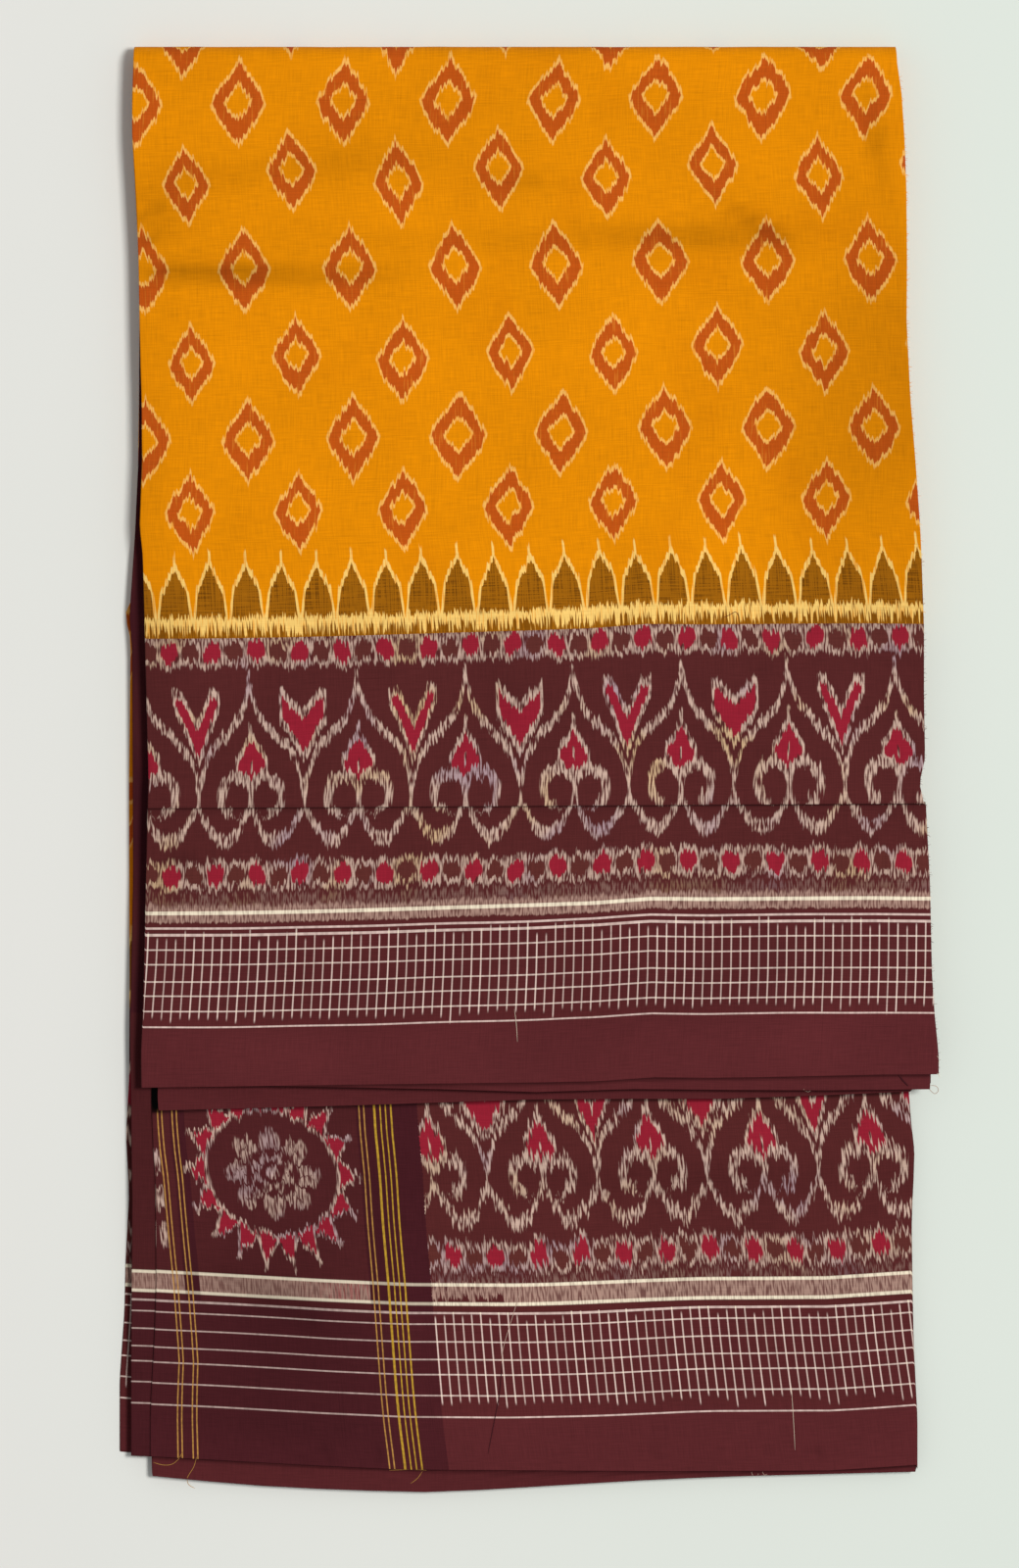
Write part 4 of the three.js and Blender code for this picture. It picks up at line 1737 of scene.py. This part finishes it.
@dataclass(frozen=True)
class PalluBorder:
    """The end piece's border: a petalled medallion between groups of gold threads."""

    centre_along: float = 773.8
    centre_height: float = 138.0
    half_wide: float = 32.0
    half_high: float = 28.8
    petals: int = 18
    petal_foot: float = 1.03  # distance of a petal's foot from the centre, where the ring is 1
    petal_half: float = 5.1
    lotus_petals: int = 8
    lotus_reach: float = 0.72  # how far a petal's tip is from the centre, where the ring is 1
    cup_reach: float = 0.34
    fill_start: float = 733.6
    fill_end: float = 816.6

    def petal(self, radius: Wire, away: Wire, upright: Wire) -> Wire:
        """How far inside a petal a place is: a spike that points out from the ring.

        Args:
            radius: distance from the medallion's centre, in its own radii.
            away: distance from the petal's axis, in sectors.
            upright: share from 0 at the medallion's sides to 1 at its top and foot.

        Returns:
            Millimetres inside its edge.
        """
        mean = (self.half_wide + self.half_high) / 2
        length = upright * 6.8 + 6.0
        out = (radius - self.petal_foot) * mean
        sector = 2 * math.pi * mean / self.petals
        half = (1 - out / length).power(0.78) * self.petal_half
        return (half - away * radius * sector).least(out * 1.4 + 0.4)

    def medallion(self, draft: Draft, along: Wire, height: Wire) -> tuple[Wire, Wire]:
        """Ring of petals round a lotus.

        Args:
            draft: the material.
            along: millimetres along the warp.
            height: millimetres from the selvedge, with the bleed in it.

        Returns:
            Shares of the pale and of the red.
        """
        x = (along - self.centre_along) / self.half_wide
        y = (height - self.centre_height) / self.half_high
        square = (x * x + y * y).most(0.0001)
        radius = square.math("SQRT")
        turn = y.math("ARCTAN2", x)
        crowded = turn - x * y / square * 0.28
        sector = crowded * (self.petals / (2 * math.pi))
        index = sector.whole()
        upright = y * y / square
        inside = self.petal(radius, abs(sector - index), upright)
        red = inside.ramp(0.0, 0.5)
        reach = (upright * 0.25 + 1.33 - radius).ramp(-0.03, 0.03)
        legs = inside.ramp(-1.6, -1.0) * radius.ramp(0.96, 1.0) * reach
        ring = radius.stripe(1.0, 0.03, 0.015) * (y.ramp(0.2, -0.8) * 0.4 + 0.6)
        # Lotus: broad pale petals round a ringed heart.
        petals = turn * (self.lotus_petals / (2 * math.pi))
        bloom = abs(petals.math("FRACT") - 0.5) * 2
        edge = (1 - bloom).power(2.2) * -0.3 + self.lotus_reach
        lotus = (edge - radius).ramp(-0.03, 0.03) * radius.ramp(0.38, 0.42)
        veins = bloom.ramp(0.14, 0.06) * 0.95 + bloom.ramp(0.9, 0.97) * radius.ramp(0.66, 0.58) * 0.8
        inner = abs((petals + 0.5).math("FRACT") - 0.5) * 2
        cup = ((1 - inner).power(2.4) * -0.16 + self.cup_reach - radius).ramp(-0.02, 0.02)
        cup = cup * radius.ramp(0.17, 0.21)
        heart = radius.ramp(0.12, 0.08)
        return nearest_of((legs, ring, lotus * (1 - veins) * 0.75, cup * 0.75, heart)), red

    def colour(self, draft: Draft) -> Wire:
        """Colour of the end piece's border."""
        along, distance = draft.along, WIDTH_MM - draft.across
        bleed = Bleed(1.5, 1.2, 2.0).of(draft)
        height = distance + bleed
        worn = combed(draft, 19, -0.75, 0.6)
        pale, red = self.medallion(draft, along, height)
        spacing = ((height - 139.6) / 16.8).math("FRACT")
        blotch = along.stripe(718.4, 1.7, 0.3) * abs(spacing - 0.5).ramp(0.16, 0.22)
        blotch = blotch * height.stripe(122.0, 26.0, 1.0)
        tied = along.stripe((self.fill_start + self.fill_end) / 2, (self.fill_end - self.fill_start) / 2)
        worked = tied.most(along.ramp(726.4, 726.0))
        ground = draft.dye(Dye.PALLU, Dye.MAROON, worked * 0.6)
        outline = draft.dye(Dye.PALE, Dye.LILAC, draft.noise(0.05, 0.05, 16).ramp(-0.3, 0.8) * 0.6)
        colour = draft.dye(ground, outline, pale.most(blotch) * worn)
        colour = draft.dye(colour, Dye.RED, red)
        taupe = draft.dye(Dye.MAROON, Dye.TAUPE, worn * 0.5 + 0.3)
        pinkish = along.ramp(775, 815) * draft.noise(1.2, 0.1, 17).ramp(-0.2, 0.6) * 0.5
        taupe = draft.dye(taupe, Dye.RED, pinkish)
        between = (distance + bleed * 0.2).stripe(84.7, 4.2, 0.4) * worked
        colour = draft.dye(colour, taupe, between)
        lines = distance.stripe(80.2, 0.7, 0.3).most(distance.stripe(89.1, 0.7, 0.3))
        colour = draft.dye(colour, Dye.IVORY, lines * (0.5 + worked * 0.3))
        gold, share = gold_threads(draft, along)
        return draft.dye(colour, gold, share)


@dataclass(frozen=True)
class Diamond:
    """A kind of ringed diamond, which fills every second row of the lattice."""

    first_row: int
    last_pair: int  # how many rows of its kind there are before the middle of the cloth
    axis: float
    pitch: float
    wide: float
    tall: float
    drift: float = 0.0  # how much further off its row every second one lies with each row
    hole_width: float = 0.58  # share of the width that the hole in the ring takes
    hole_height: float = 0.5
    hole_rise: float = 0.8  # how far the hole lies above the diamond's middle
    rim_side: float = 1.2  # width of the cream rims at their sides
    rim_tip: float = 2.6
    heart_tip: float = 2.0


SMALL_DIAMOND = Diamond(0, last_pair=4, axis=5213.9, pitch=49.9, wide=11.1, tall=18.4, drift=0.75)
LARGE_DIAMOND = Diamond(1, last_pair=3, axis=5189.1, pitch=49.2, wide=12.1, tall=19.5)

# How far each row of the lattice lies from its even place.
ROW_STRAYS = (0.0, -3.7, -4.1, 0.0, 5.0, 2.2, 0.0, 3.0, 14.5)


@dataclass(frozen=True)
class MangoBody:
    """The yellow body with its half-drop lattice of diamonds, and the row of arches at either border."""

    name: str = "mango_body"
    arch_axis: float = 5238.6
    arch_pitch: float = 16.73
    arch_half: float = 7.1
    arch_tip: float = 242.6
    arch_slope: float = 2.1
    arch_taper: float = 0.12  # how much its sides lean in with each millimetre of height
    cream_foot: float = 209.3
    cream_top: float = 218.8
    first_row: float = 267.0
    row_pitch: float = 37.4
    bleed: Bleed = Bleed(thread=1.2, cluster=0.8, step=1.6)

    def arches(self, draft: Draft, along: Wire, height: Wire) -> tuple[Wire, Wire]:
        """The row of pointed arches.

        Args:
            draft: the material.
            along: millimetres along the warp.
            height: millimetres from the nearer selvedge, with the bleed in it.

        Returns:
            Shares of the cream outline and of the olive inside.
        """
        cell = (along - self.arch_axis) / self.arch_pitch
        index = cell.whole()
        away = abs(cell - index) * self.arch_pitch
        tip = draft.chance(index) * 2.0 - 1.0 + self.arch_tip
        roof = tip - away * self.arch_slope - height
        side = self.arch_half - (height - self.cream_top).most(0.0) * self.arch_taper - away
        olive = roof.ramp(-0.3, 0.3) * side.ramp(-0.15, 0.15)
        cream = (roof + 3.5).ramp(-0.4, 0.4) * side.ramp(-1.25, -0.95)
        spike = away.ramp(0.7, 0.35) * (tip + 7.0 - height).ramp(-0.8, 0.8)
        return cream.most(spike), olive

    @staticmethod
    def lozenge(x: Wire, y: Wire, wide: Operand, tall: Operand) -> Wire:
        """How far inside a waisted diamond a place is, in its half widths: 0 at its edge."""
        rise = (abs(y) / tall).least(1.0)
        return (1 - rise).power(1.4) * (1 + rise * 0.9) - abs(x) / wide

    def diamonds(self, draft: Draft, along: Wire, height: Wire, kind: Diamond) -> tuple[Wire, Wire]:
        """One kind of diamond of the lattice, in every second row.

        Args:
            draft: the material.
            along: millimetres along the warp.
            height: millimetres from the nearer selvedge, with the bleed in it.
            kind: its sizes.

        Returns:
            Shares of the cream outline and of the rust ring.
        """
        pair = ((height - self.first_row) / self.row_pitch - kind.first_row) / 2
        row = pair.whole().most(0.0).least(kind.last_pair) * 2 + kind.first_row
        stray = row.curve(len(ROW_STRAYS) - 1, -6, 16, enumerate(ROW_STRAYS))
        column_place = (along - kind.axis) / kind.pitch
        column = column_place.whole()
        turned = abs(column.math("MODULO", 2.0)).least(1.0)
        shift = (1 - turned * 2) * row * kind.drift
        size = draft.chance(row, column) * 0.08 + 0.96
        x = (column_place - column) * kind.pitch + draft.chance(column, row) * 1.2 - 0.6
        y = height - (row * self.row_pitch + self.first_row + stray + shift)
        wide, tall = size * kind.wide, size * kind.tall
        hole_y = y - kind.hole_rise
        hole_wide, hole_tall = wide * kind.hole_width, tall * kind.hole_height
        rust = self.lozenge(x, y, wide, tall).ramp(0.0, 0.05)
        rust = rust * (1 - self.lozenge(x, hole_y, hole_wide, hole_tall).ramp(0.0, 0.1))
        cream = self.lozenge(x, y, wide + kind.rim_side, tall + kind.rim_tip).ramp(0.0, 0.05)
        heart = self.lozenge(x, hole_y, hole_wide - kind.rim_side, hole_tall - kind.heart_tip)
        cream = cream * (1 - heart.ramp(0.0, 0.12))
        return cream, rust

    def colour(self, draft: Draft) -> Wire:
        """Colour of the body."""
        along, across = draft.along, draft.across
        distance = across.least(WIDTH_MM - across)
        worn = draft.noise(1.3, 0.08, 9)
        height = distance + self.bleed.of(draft)
        wander = along + draft.noise(0.012, 0.012, 4) * 1.2
        cream_small, rust_small = self.diamonds(draft, wander, height, SMALL_DIAMOND)
        cream_large, rust_large = self.diamonds(draft, wander, height, LARGE_DIAMOND)
        cream_arch, olive = self.arches(draft, wander, height)
        cloud = draft.noise(0.02, 0.02, 40, 2.0)
        ground = draft.dye(Dye.MANGO, Dye.MANGO_DEEP, cloud.ramp(0.0, 1.2) * 0.35)
        ragged = 0.96 - worn.ramp(-0.1, 0.9) * 0.6
        colour = draft.dye(ground, Dye.CREAM, cream_small.most(cream_large) * ragged)
        rust = rust_small.most(rust_large)
        colour = draft.dye(colour, Dye.RUST, rust * (0.97 - worn.ramp(0.5, 1.2) * 0.3))
        colour = draft.dye(colour, Dye.BAND_CREAM, cream_arch * ragged)
        woven = draft.noise(0.06, 1.7, 44) * 0.5 + draft.noise(1.7, 0.06, 45) * 0.5
        shade = draft.dye(Dye.OLIVE, Dye.OLIVE_DEEP, woven.ramp(-0.15, 0.75))
        colour = draft.dye(colour, shade, olive)
        return self.cream_band(draft, colour, distance, self.bleed.luck(draft))

    def cream_band(self, draft: Draft, colour: Wire, distance: Wire, stepped: Wire) -> Wire:
        """Lays the band below the arches: cream above, combed into brown below.

        Args:
            draft: the material.
            colour: colour so far.
            distance: millimetres from the nearer selvedge.
            stepped: each thread's own luck.

        Returns:
            The colour.
        """
        comb = draft.noise(1.5, 0.11, 48)
        top = (distance + comb * 1.6 + stepped * 2.2).ramp(self.cream_top + 0.5, self.cream_top - 0.5)
        level = (distance - self.cream_foot) / (self.cream_top - self.cream_foot)
        brown = draft.dye(Dye.OLIVE, Dye.OLIVE_DEEP, comb.ramp(0.4, -0.6) * 0.7)
        cream = draft.dye(Dye.BAND_CREAM, Dye.MANGO, draft.noise(1.6, 0.09, 49).ramp(0.1, 0.9) * 0.55)
        share = (level * 1.7 - 0.7 + comb * 0.75 + stepped * 0.4).ramp(-0.2, 0.2)
        return draft.dye(colour, draft.dye(brown, cream, share), top)

    def make(self) -> Material:
        """Makes the material, with the end piece's plain maroon where the cloth starts."""
        draft = Draft(self.name)
        body = draft.shader(self.colour(draft))
        plain = draft.dye(Dye.PALLU, Dye.MAROON, draft.noise(0.2, 0.02, 50).ramp(-0.5, 1.0) * 0.4)
        pallu = draft.shader(plain)
        return draft.finish(draft.choose(draft.along.over(PALLU_END), pallu, body))


FRONT_LINES = (
    WarpLine(28.7, 0.38), WarpLine(36.0), WarpLine(43.1), WarpLine(49.7), WarpLine(57.7),
    WarpLine(64.5), WarpLine(71.4, 0.62), WarpLine(74.5, 0.5),
)
BACK_LINES = (
    WarpLine(27.5, 0.38), WarpLine(37.5), WarpLine(47.2), WarpLine(54.2), WarpLine(62.4),
    WarpLine(70.6), WarpLine(75.8, 0.55),
)


def cloth_finishes() -> list[Material]:
    """A material for each zone of the design, in the order of Zone."""
    return [
        SelvedgeBand("front_band", False, FRONT_LINES).make(),
        HeartBorder("front_border", False, heart_axis=5113.5, dot_axis=5091.9).make(),
        MangoBody().make(),
        HeartBorder(
            name="back_border",
            back=True,
            heart_axis=877.2,
            dot_axis=898.5,
            lift=3.4,
            pitch=52.0,
            dot_pitch=10.18,
            straw=0.35,
            bleed=Bleed(2.4, 1.5, 2.8),
        ).make(),
        SelvedgeBand("back_band", True, BACK_LINES, check_foot=35.2, check_head=71.5).make(),
    ]


# ---- the pieces


@dataclass
class PassPiece:
    """A run of passes made as one piece of cloth."""

    name: str
    slot: str
    orders: range  # the passes' places in the length of the cloth
    fine: tuple[int, ...]  # columns across each pass
    row_step: float
    turn_steps: int
    replaces: tuple[str, ...]
    crowds: tuple[Crowd, ...] = ()
    tucked: bool = False

    def build(self, bundle: Bundle, finishes: Sequence[Material]) -> Object:
        """Args:
            bundle: where the cloth lies.
            finishes: a material for each zone.

        Returns:
            The piece.
        """
        folded = FoldedCloth(bundle)
        columns: list[Column] = []
        for order, count in zip(self.orders, self.fine, strict=True):
            columns += pass_columns(order, count, order == self.orders[0], order == self.orders[-1])
        tuck = tuck_row(bundle) if self.tucked else None
        rows = cloth_rows(self.row_step, self.turn_steps, self.crowds, tuck)
        piece = weave(self.name, columns, rows, folded.place, finishes)
        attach(piece, "root")
        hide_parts(*self.replaces)
        return piece

    @property
    def cut(self) -> tuple[float, float]:
        """Flat size of the piece: across the warp and along it."""
        return (CLOTH_WIDTH, PASS_LENGTH * len(self.orders))


@dataclass(frozen=True)
class LooseYarn:
    """A yarn end that lies loose on the bundle or the table."""

    path: tuple[tuple[float, float], ...]  # places on the sheet, in millimetres
    dye: Dye
    radius: float = 0.13


LOOSE_YARNS = (
    LooseYarn(
        ((-161.1, -317.1), (-162.8, -320.3), (-165.9, -322.9), (-170.3, -323.3), (-175.5, -321.8)),
        Dye.GOLD,
    ),
    LooseYarn(
        ((-154.5, -319.4), (-155.9, -324.2), (-158.9, -329.4), (-158.6, -332.9), (-155.5, -334.8)),
        Dye.GOLD,
    ),
    LooseYarn(((-64.8, -325.8), (-55.0, -325.4), (-47.5, -325.8)), Dye.GOLD),
    LooseYarn(((-49.4, -326.2), (-51.6, -329.4), (-54.9, -332.0)), Dye.GOLD),
    LooseYarn(((-2.0, -236.0), (-6.5, -251.0), (-11.6, -268.0), (-12.4, -276.0)), Dye.PALE, 0.13),
    LooseYarn(((-12.4, -276.0), (-13.6, -290.0), (-16.0, -303.0), (-18.9, -318.0)), Dye.PALLU, 0.2),
    LooseYarn(((-6.6, -111.0), (-5.7, -117.8), (-5.2, -126.0)), Dye.IVORY, 0.1),
    LooseYarn(((90.3, 70.8), (93.5, 72.2), (96.1, 73.5), (97.5, 71.4)), Dye.MAROON),
    LooseYarn(((122.2, -286.2), (123.2, -301.0), (124.0, -316.2)), Dye.IVORY, 0.09),
    LooseYarn(((189.6, -132.6), (190.9, -134.4), (191.6, -136.6)), Dye.IVORY, 0.1),
    LooseYarn(((189.4, -140.6), (191.2, -141.6), (191.8, -143.4)), Dye.IVORY, 0.1),
    LooseYarn(
        ((187.0, -147.0), (190.0, -147.2), (191.2, -149.2), (189.6, -150.8),
         (187.6, -149.4), (186.4, -147.6)),
        Dye.PALE,
        0.12,
    ),
    LooseYarn(((127.6, -148.0), (129.8, -149.6), (131.4, -148.8)), Dye.PALE, 0.1),
    LooseYarn(((103.8, -326.6), (104.6, -328.6), (106.4, -328.8), (107.0, -327.2)), Dye.PALE, 0.11),
    LooseYarn(((108.8, -326.4), (109.8, -328.0), (111.2, -327.4)), Dye.PALE, 0.11),
    LooseYarn(((171.8, -141.5), (174.0, -144.2), (176.3, -146.6)), Dye.PALLU, 0.34),
)


@dataclass
class LooseEnds:
    """Yarn ends that have come loose, laid over whatever lies below them."""

    yarns: tuple[LooseYarn, ...] = LOOSE_YARNS
    steps: int = 5  # places between two of a path's own places

    def finish(self, dye: Dye) -> Material:
        """Plain yarn of a colour."""
        material = bpy.data.materials.new("yarn_" + dye.name.lower())
        material.use_nodes = True
        yarn = material.node_tree.nodes["Principled BSDF"]
        yarn.inputs["Base Color"].default_value = dye.linear
        yarn.inputs["Roughness"].default_value = 0.8
        yarn.inputs["Specular IOR Level"].default_value = 0.1
        return material

    def laid(self, yarn: LooseYarn) -> list[Vector]:
        """A yarn's places, smoothed and laid on what is below them.

        Args:
            yarn: the yarn.

        Returns:
            The places, in metres.
        """
        graph = bpy.context.evaluated_depsgraph_get()
        knots = [Vector((x * MM, y * MM, 0.0)) for x, y in yarn.path]
        places: list[Vector] = []
        for index in range(len(knots) - 1):
            before, after = knots[max(index - 1, 0)], knots[min(index + 2, len(knots) - 1)]
            start, end = knots[index], knots[index + 1]
            leave, arrive = start + (end - before) / 6, end - (after - start) / 6
            places += interpolate_bezier(start, leave, arrive, end, self.steps)[:-1]
        places.append(knots[-1])
        for place in places:
            above = Vector((place.x, place.y, 0.1))
            found, point, *_ = bpy.context.scene.ray_cast(graph, above, Vector((0, 0, -1)))
            place.z = (point.z if found else 0.0) + yarn.radius * MM
        return places

    def build(self) -> Object:
        """Builds the yarns as thin tubes in one mesh."""
        dyes = list(dict.fromkeys(yarn.dye for yarn in self.yarns))
        finishes = [self.finish(dye) for dye in dyes]
        line = bpy.data.curves.new("loose_yarn_lines", "CURVE")
        line.dimensions = "3D"
        line.bevel_depth = MM
        line.bevel_resolution = 0
        for finish in finishes:
            line.materials.append(finish)
        for yarn in self.yarns:
            places = self.laid(yarn)
            spline = line.splines.new("POLY")
            spline.points.add(len(places) - 1)
            spline.material_index = dyes.index(yarn.dye)
            for index, (point, place) in enumerate(zip(spline.points, places, strict=True)):
                point.co = (*place, 1.0)
                taper = min(1.0, 0.35 + 0.3 * index, 0.35 + 0.3 * (len(places) - 1 - index))
                point.radius = yarn.radius * taper
        drawn = put("loose_yarn_lines", line)
        graph = bpy.context.evaluated_depsgraph_get()
        mesh = bpy.data.meshes.new_from_object(drawn.evaluated_get(graph))
        bpy.data.objects.remove(drawn)
        mesh.name = "loose_yarns"
        ends = put("loose_yarns", mesh)
        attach(ends, "root")
        return ends


@dataclass
class Fringe:
    """Warp ends that stick out of the cloth's cut end, at the outer panel's right edge."""

    count: int = 420
    shortest: float = 0.5 * MM
    longest: float = 2.0 * MM
    thick: float = 0.12 * MM
    seed: int = 29

    def build(self, bundle: Bundle, finishes: Sequence[Material]) -> Object:
        """Builds the yarns, each in the colour that the cloth has at its root.

        Args:
            bundle: where the cloth lies.
            finishes: a material for each zone.

        Returns:
            The fringe.
        """
        chance = random.Random(self.seed)
        folded = FoldedCloth(bundle)
        edge = pass_columns(len(PASS_ORDER) - 1, 4, first=True, last=True)[-1]
        fringe = bmesh.new()
        flat_map = fringe.loops.layers.uv.new(CLOTH_MAP)
        for _ in range(self.count):
            half = Half.FRONT if chance.random() < 0.7 else Half.BACK
            distance = chance.uniform(0, FRONT_REACH + 4 * MM if half is Half.FRONT else BACK_REACH)
            root, flat, _ = folded.place(edge, Row(half, distance))
            length = chance.uniform(self.shortest, self.longest) * chance.uniform(0.5, 1.0)
            aim = Vector((1, chance.uniform(-0.7, 0.7), chance.uniform(-0.12, 0.1))).normalized()
            turn = aim.to_track_quat("Z", "X").to_matrix().to_4x4()
            move = Matrix.Translation(root + aim * (length / 2 - 0.2 * MM))
            made = bmesh.ops.create_cone(
                fringe,
                cap_ends=False,
                segments=3,
                radius1=self.thick,
                radius2=self.thick * 0.35,
                depth=length + 0.4 * MM,
                matrix=move @ turn,
            )
            for face in {face for vertex in made["verts"] for face in vertex.link_faces}:
                face.material_index = zone_at(flat[1]).value
                for loop in face.loops:
                    loop[flat_map].uv = flat
        mesh = bpy.data.meshes.new("cut_end_fringe")
        fringe.to_mesh(mesh)
        fringe.free()
        for finish in finishes:
            mesh.materials.append(finish)
        piece = put("cut_end_fringe", mesh)
        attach(piece, "root")
        return piece


@dataclass
class Table:
    """The pale surface that the bundle lies on."""

    half_side: float = 2.5
    painted_bright_left: tuple[float, ...] = (0.82, 0.82, 0.782, 1)  # painted brighter, warmer colour on the left, as a light falloff across the table
    painted_dark_right: tuple[float, ...] = (0.715, 0.78, 0.715, 1)  # painted darker, greener colour on the right
    blend_reach: float = 0.26  # distance from the middle at which the blend ends

    def finish(self) -> Material:
        """Matt, very slightly uneven white, with a painted light falloff from the brighter left to the
        darker, greener right.
        """
        material = bpy.data.materials.new("table_white")
        material.use_nodes = True
        tree = material.node_tree
        paint = tree.nodes["Principled BSDF"]
        paint.inputs["Roughness"].default_value = 0.62
        paint.inputs["Specular IOR Level"].default_value = 0.3
        place = add_node(tree, "TexCoord")
        cloud = add_node(tree, "TexNoise", Scale=3.2, Detail=3.0)
        blend = add_node(tree, "Mix")
        blend.data_type = "RGBA"
        blend.inputs[6].default_value = self.painted_bright_left
        blend.inputs[7].default_value = self.painted_dark_right
        # Painted light falloff across the table along x, mixed with a faint cloud.
        split = add_node(tree, "SeparateXYZ")
        reach = {"From_Min": -self.blend_reach, "From_Max": self.blend_reach}
        across = add_node(tree, "MapRange", To_Min=-0.25, To_Max=0.75, **reach)
        uneven = add_node(tree, "Math")
        uneven.operation = "MULTIPLY_ADD"
        uneven.inputs[1].default_value = 0.5
        tree.links.new(place.outputs["Object"], split.inputs[0])
        tree.links.new(split.outputs[0], across.inputs["Value"])
        tree.links.new(cloud.outputs[0], uneven.inputs[0])
        tree.links.new(across.outputs[0], uneven.inputs[2])
        uneven.use_clamp = True
        dent = add_node(tree, "Bump", Strength=0.12, Distance=4 * MM)
        tree.links.new(place.outputs["Object"], cloud.inputs["Vector"])
        tree.links.new(uneven.outputs[0], blend.inputs[0])
        tree.links.new(cloud.outputs[0], dent.inputs["Height"])
        tree.links.new(blend.outputs[2], paint.inputs["Base Color"])
        tree.links.new(dent.outputs[0], paint.inputs["Normal"])
        return material

    def build(self) -> Object:
        """Builds the surface."""
        sheet = bmesh.new()
        bmesh.ops.create_grid(sheet, x_segments=1, y_segments=1, size=self.half_side)
        mesh = bpy.data.meshes.new("table")
        sheet.to_mesh(mesh)
        sheet.free()
        mesh.materials.append(self.finish())
        table = put("table", mesh)
        return table


@dataclass
class Studio:
    """Camera and lights."""

    picture: tuple[int, int] = (1040, 1600)  # pixels
    pixel: float = 0.455 * MM
    bundle_middle: tuple[float, float] = (539.5, 786.0)  # the frame's origin in the picture, in pixels
    distance: float = 3.6
    sharp_height: float = 15.5 * MM  # height at which a pixel has its stated size
    key_distance: float = 4.2
    key_height: float = 69.0  # degrees above the table
    key_turn: float = 12.0  # degrees from the right towards the top fold
    key_size: float = 0.9
    key_share: float = 0.66  # share of the light on the table that the key lamp gives
    sky: float = 0.345

    def build_camera(self) -> Object:
        """Camera straight above the bundle, framed as the picture is."""
        wide, high = self.picture
        camera = bpy.data.cameras.new("camera")
        camera.sensor_fit = "AUTO"
        camera.sensor_width = 36
        camera.lens = camera.sensor_width * self.distance / (high * self.pixel)
        camera.clip_end = 20
        body = put("camera", camera)
        x = (wide / 2 - self.bundle_middle[0]) * self.pixel
        y = (self.bundle_middle[1] - high / 2) * self.pixel
        body.location = (x, y, self.sharp_height + self.distance)
        bpy.context.scene.camera = body
        return body

    def build_light(self, name: str, place: Vector, power: float, size: float, tint: Vector) -> None:
        """Adds a square lamp that faces the bundle.

        Args:
            name: its name.
            place: where it hangs.
            power: watts.
            size: side of the lamp.
            tint: colour of its light.
        """
        lamp = bpy.data.lights.new(name, "AREA")
        lamp.energy, lamp.size, lamp.color = power, size, tint
        body = put(name, lamp)
        body.location = place
        body.rotation_euler = (-place).to_track_quat("-Z", "Y").to_euler()

    def build(self) -> None:
        """Builds the camera, the key lamp and the soft light of the room."""
        self.build_camera()
        rise, turn = math.radians(self.key_height), math.radians(self.key_turn)
        level = math.cos(rise)
        place = Vector((level * math.cos(turn), level * math.sin(turn), math.sin(rise))) * self.key_distance
        power = self.key_share * (math.pi * self.key_distance) ** 2 / math.sin(rise)
        self.build_light("key", place, power, self.key_size, Vector((1, 0.985, 0.965)))
        world = bpy.data.worlds.new("room")
        world.use_nodes = True
        air = world.node_tree.nodes["Background"]
        air.inputs["Color"].default_value = (0.97, 0.985, 1.0, 1)
        air.inputs["Strength"].default_value = self.sky
        bpy.context.scene.world = world
        bpy.context.scene.view_settings.view_transform = "Standard"


PIECES = (
    PassPiece(
        name="inner_passes",
        slot="border_cloth",
        orders=range(0, 3),
        fine=(16, 16, 74),
        row_step=5.2 * MM,
        turn_steps=4,
        replaces=("inner_panel", "front_layer_3", "pallu_layer"),
        crowds=(Crowd(Half.FRONT, 1.6 * MM, 13 * MM), Crowd(Half.BACK, 160 * MM, 177 * MM)),
    ),
    PassPiece(
        name="middle_passes",
        slot="body_cloth",
        orders=range(3, 13),
        fine=(14, 8, 8, 8, 8, 8, 8, 8, 8, 8),
        row_step=11 * MM,
        turn_steps=6,
        replaces=("hidden_layers", "inner_layer_2"),
        crowds=(Crowd(Half.BACK, 1.6 * MM, 12 * MM, 1.1 * MM),),
    ),
    PassPiece(
        name="outer_passes",
        slot="body_cloth",
        orders=range(13, 15),
        fine=(16, 76),
        row_step=4.9 * MM,
        turn_steps=12,
        replaces=("outer_panel", "under_panel", "front_layer_2"),
        crowds=(Crowd(Half.FRONT, 1.6 * MM, 8.6 * MM),),
        tucked=True,
    ),
)


def main() -> None:
    """Builds the scene."""
    logging.basicConfig(level=logging.INFO, format="%(name)s: %(message)s")
    Studio().build()
    Table().build()
    bundle = Bundle()
    finishes = cloth_finishes()
    built = {plan.name: plan.build(bundle, finishes) for plan in PIECES}
    yarns = LooseEnds().build()
    fringe = Fringe().build(bundle, finishes)
    for plan in reversed(PIECES):
        piece = built[plan.name]
        LOG.info("%s: %d faces, %s", plan.name, len(piece.data.polygons), plan.slot)
    for piece in (yarns, fringe):
        LOG.info("%s: %d faces", piece.name, len(piece.data.polygons))


if __name__ == "__main__":
    main()
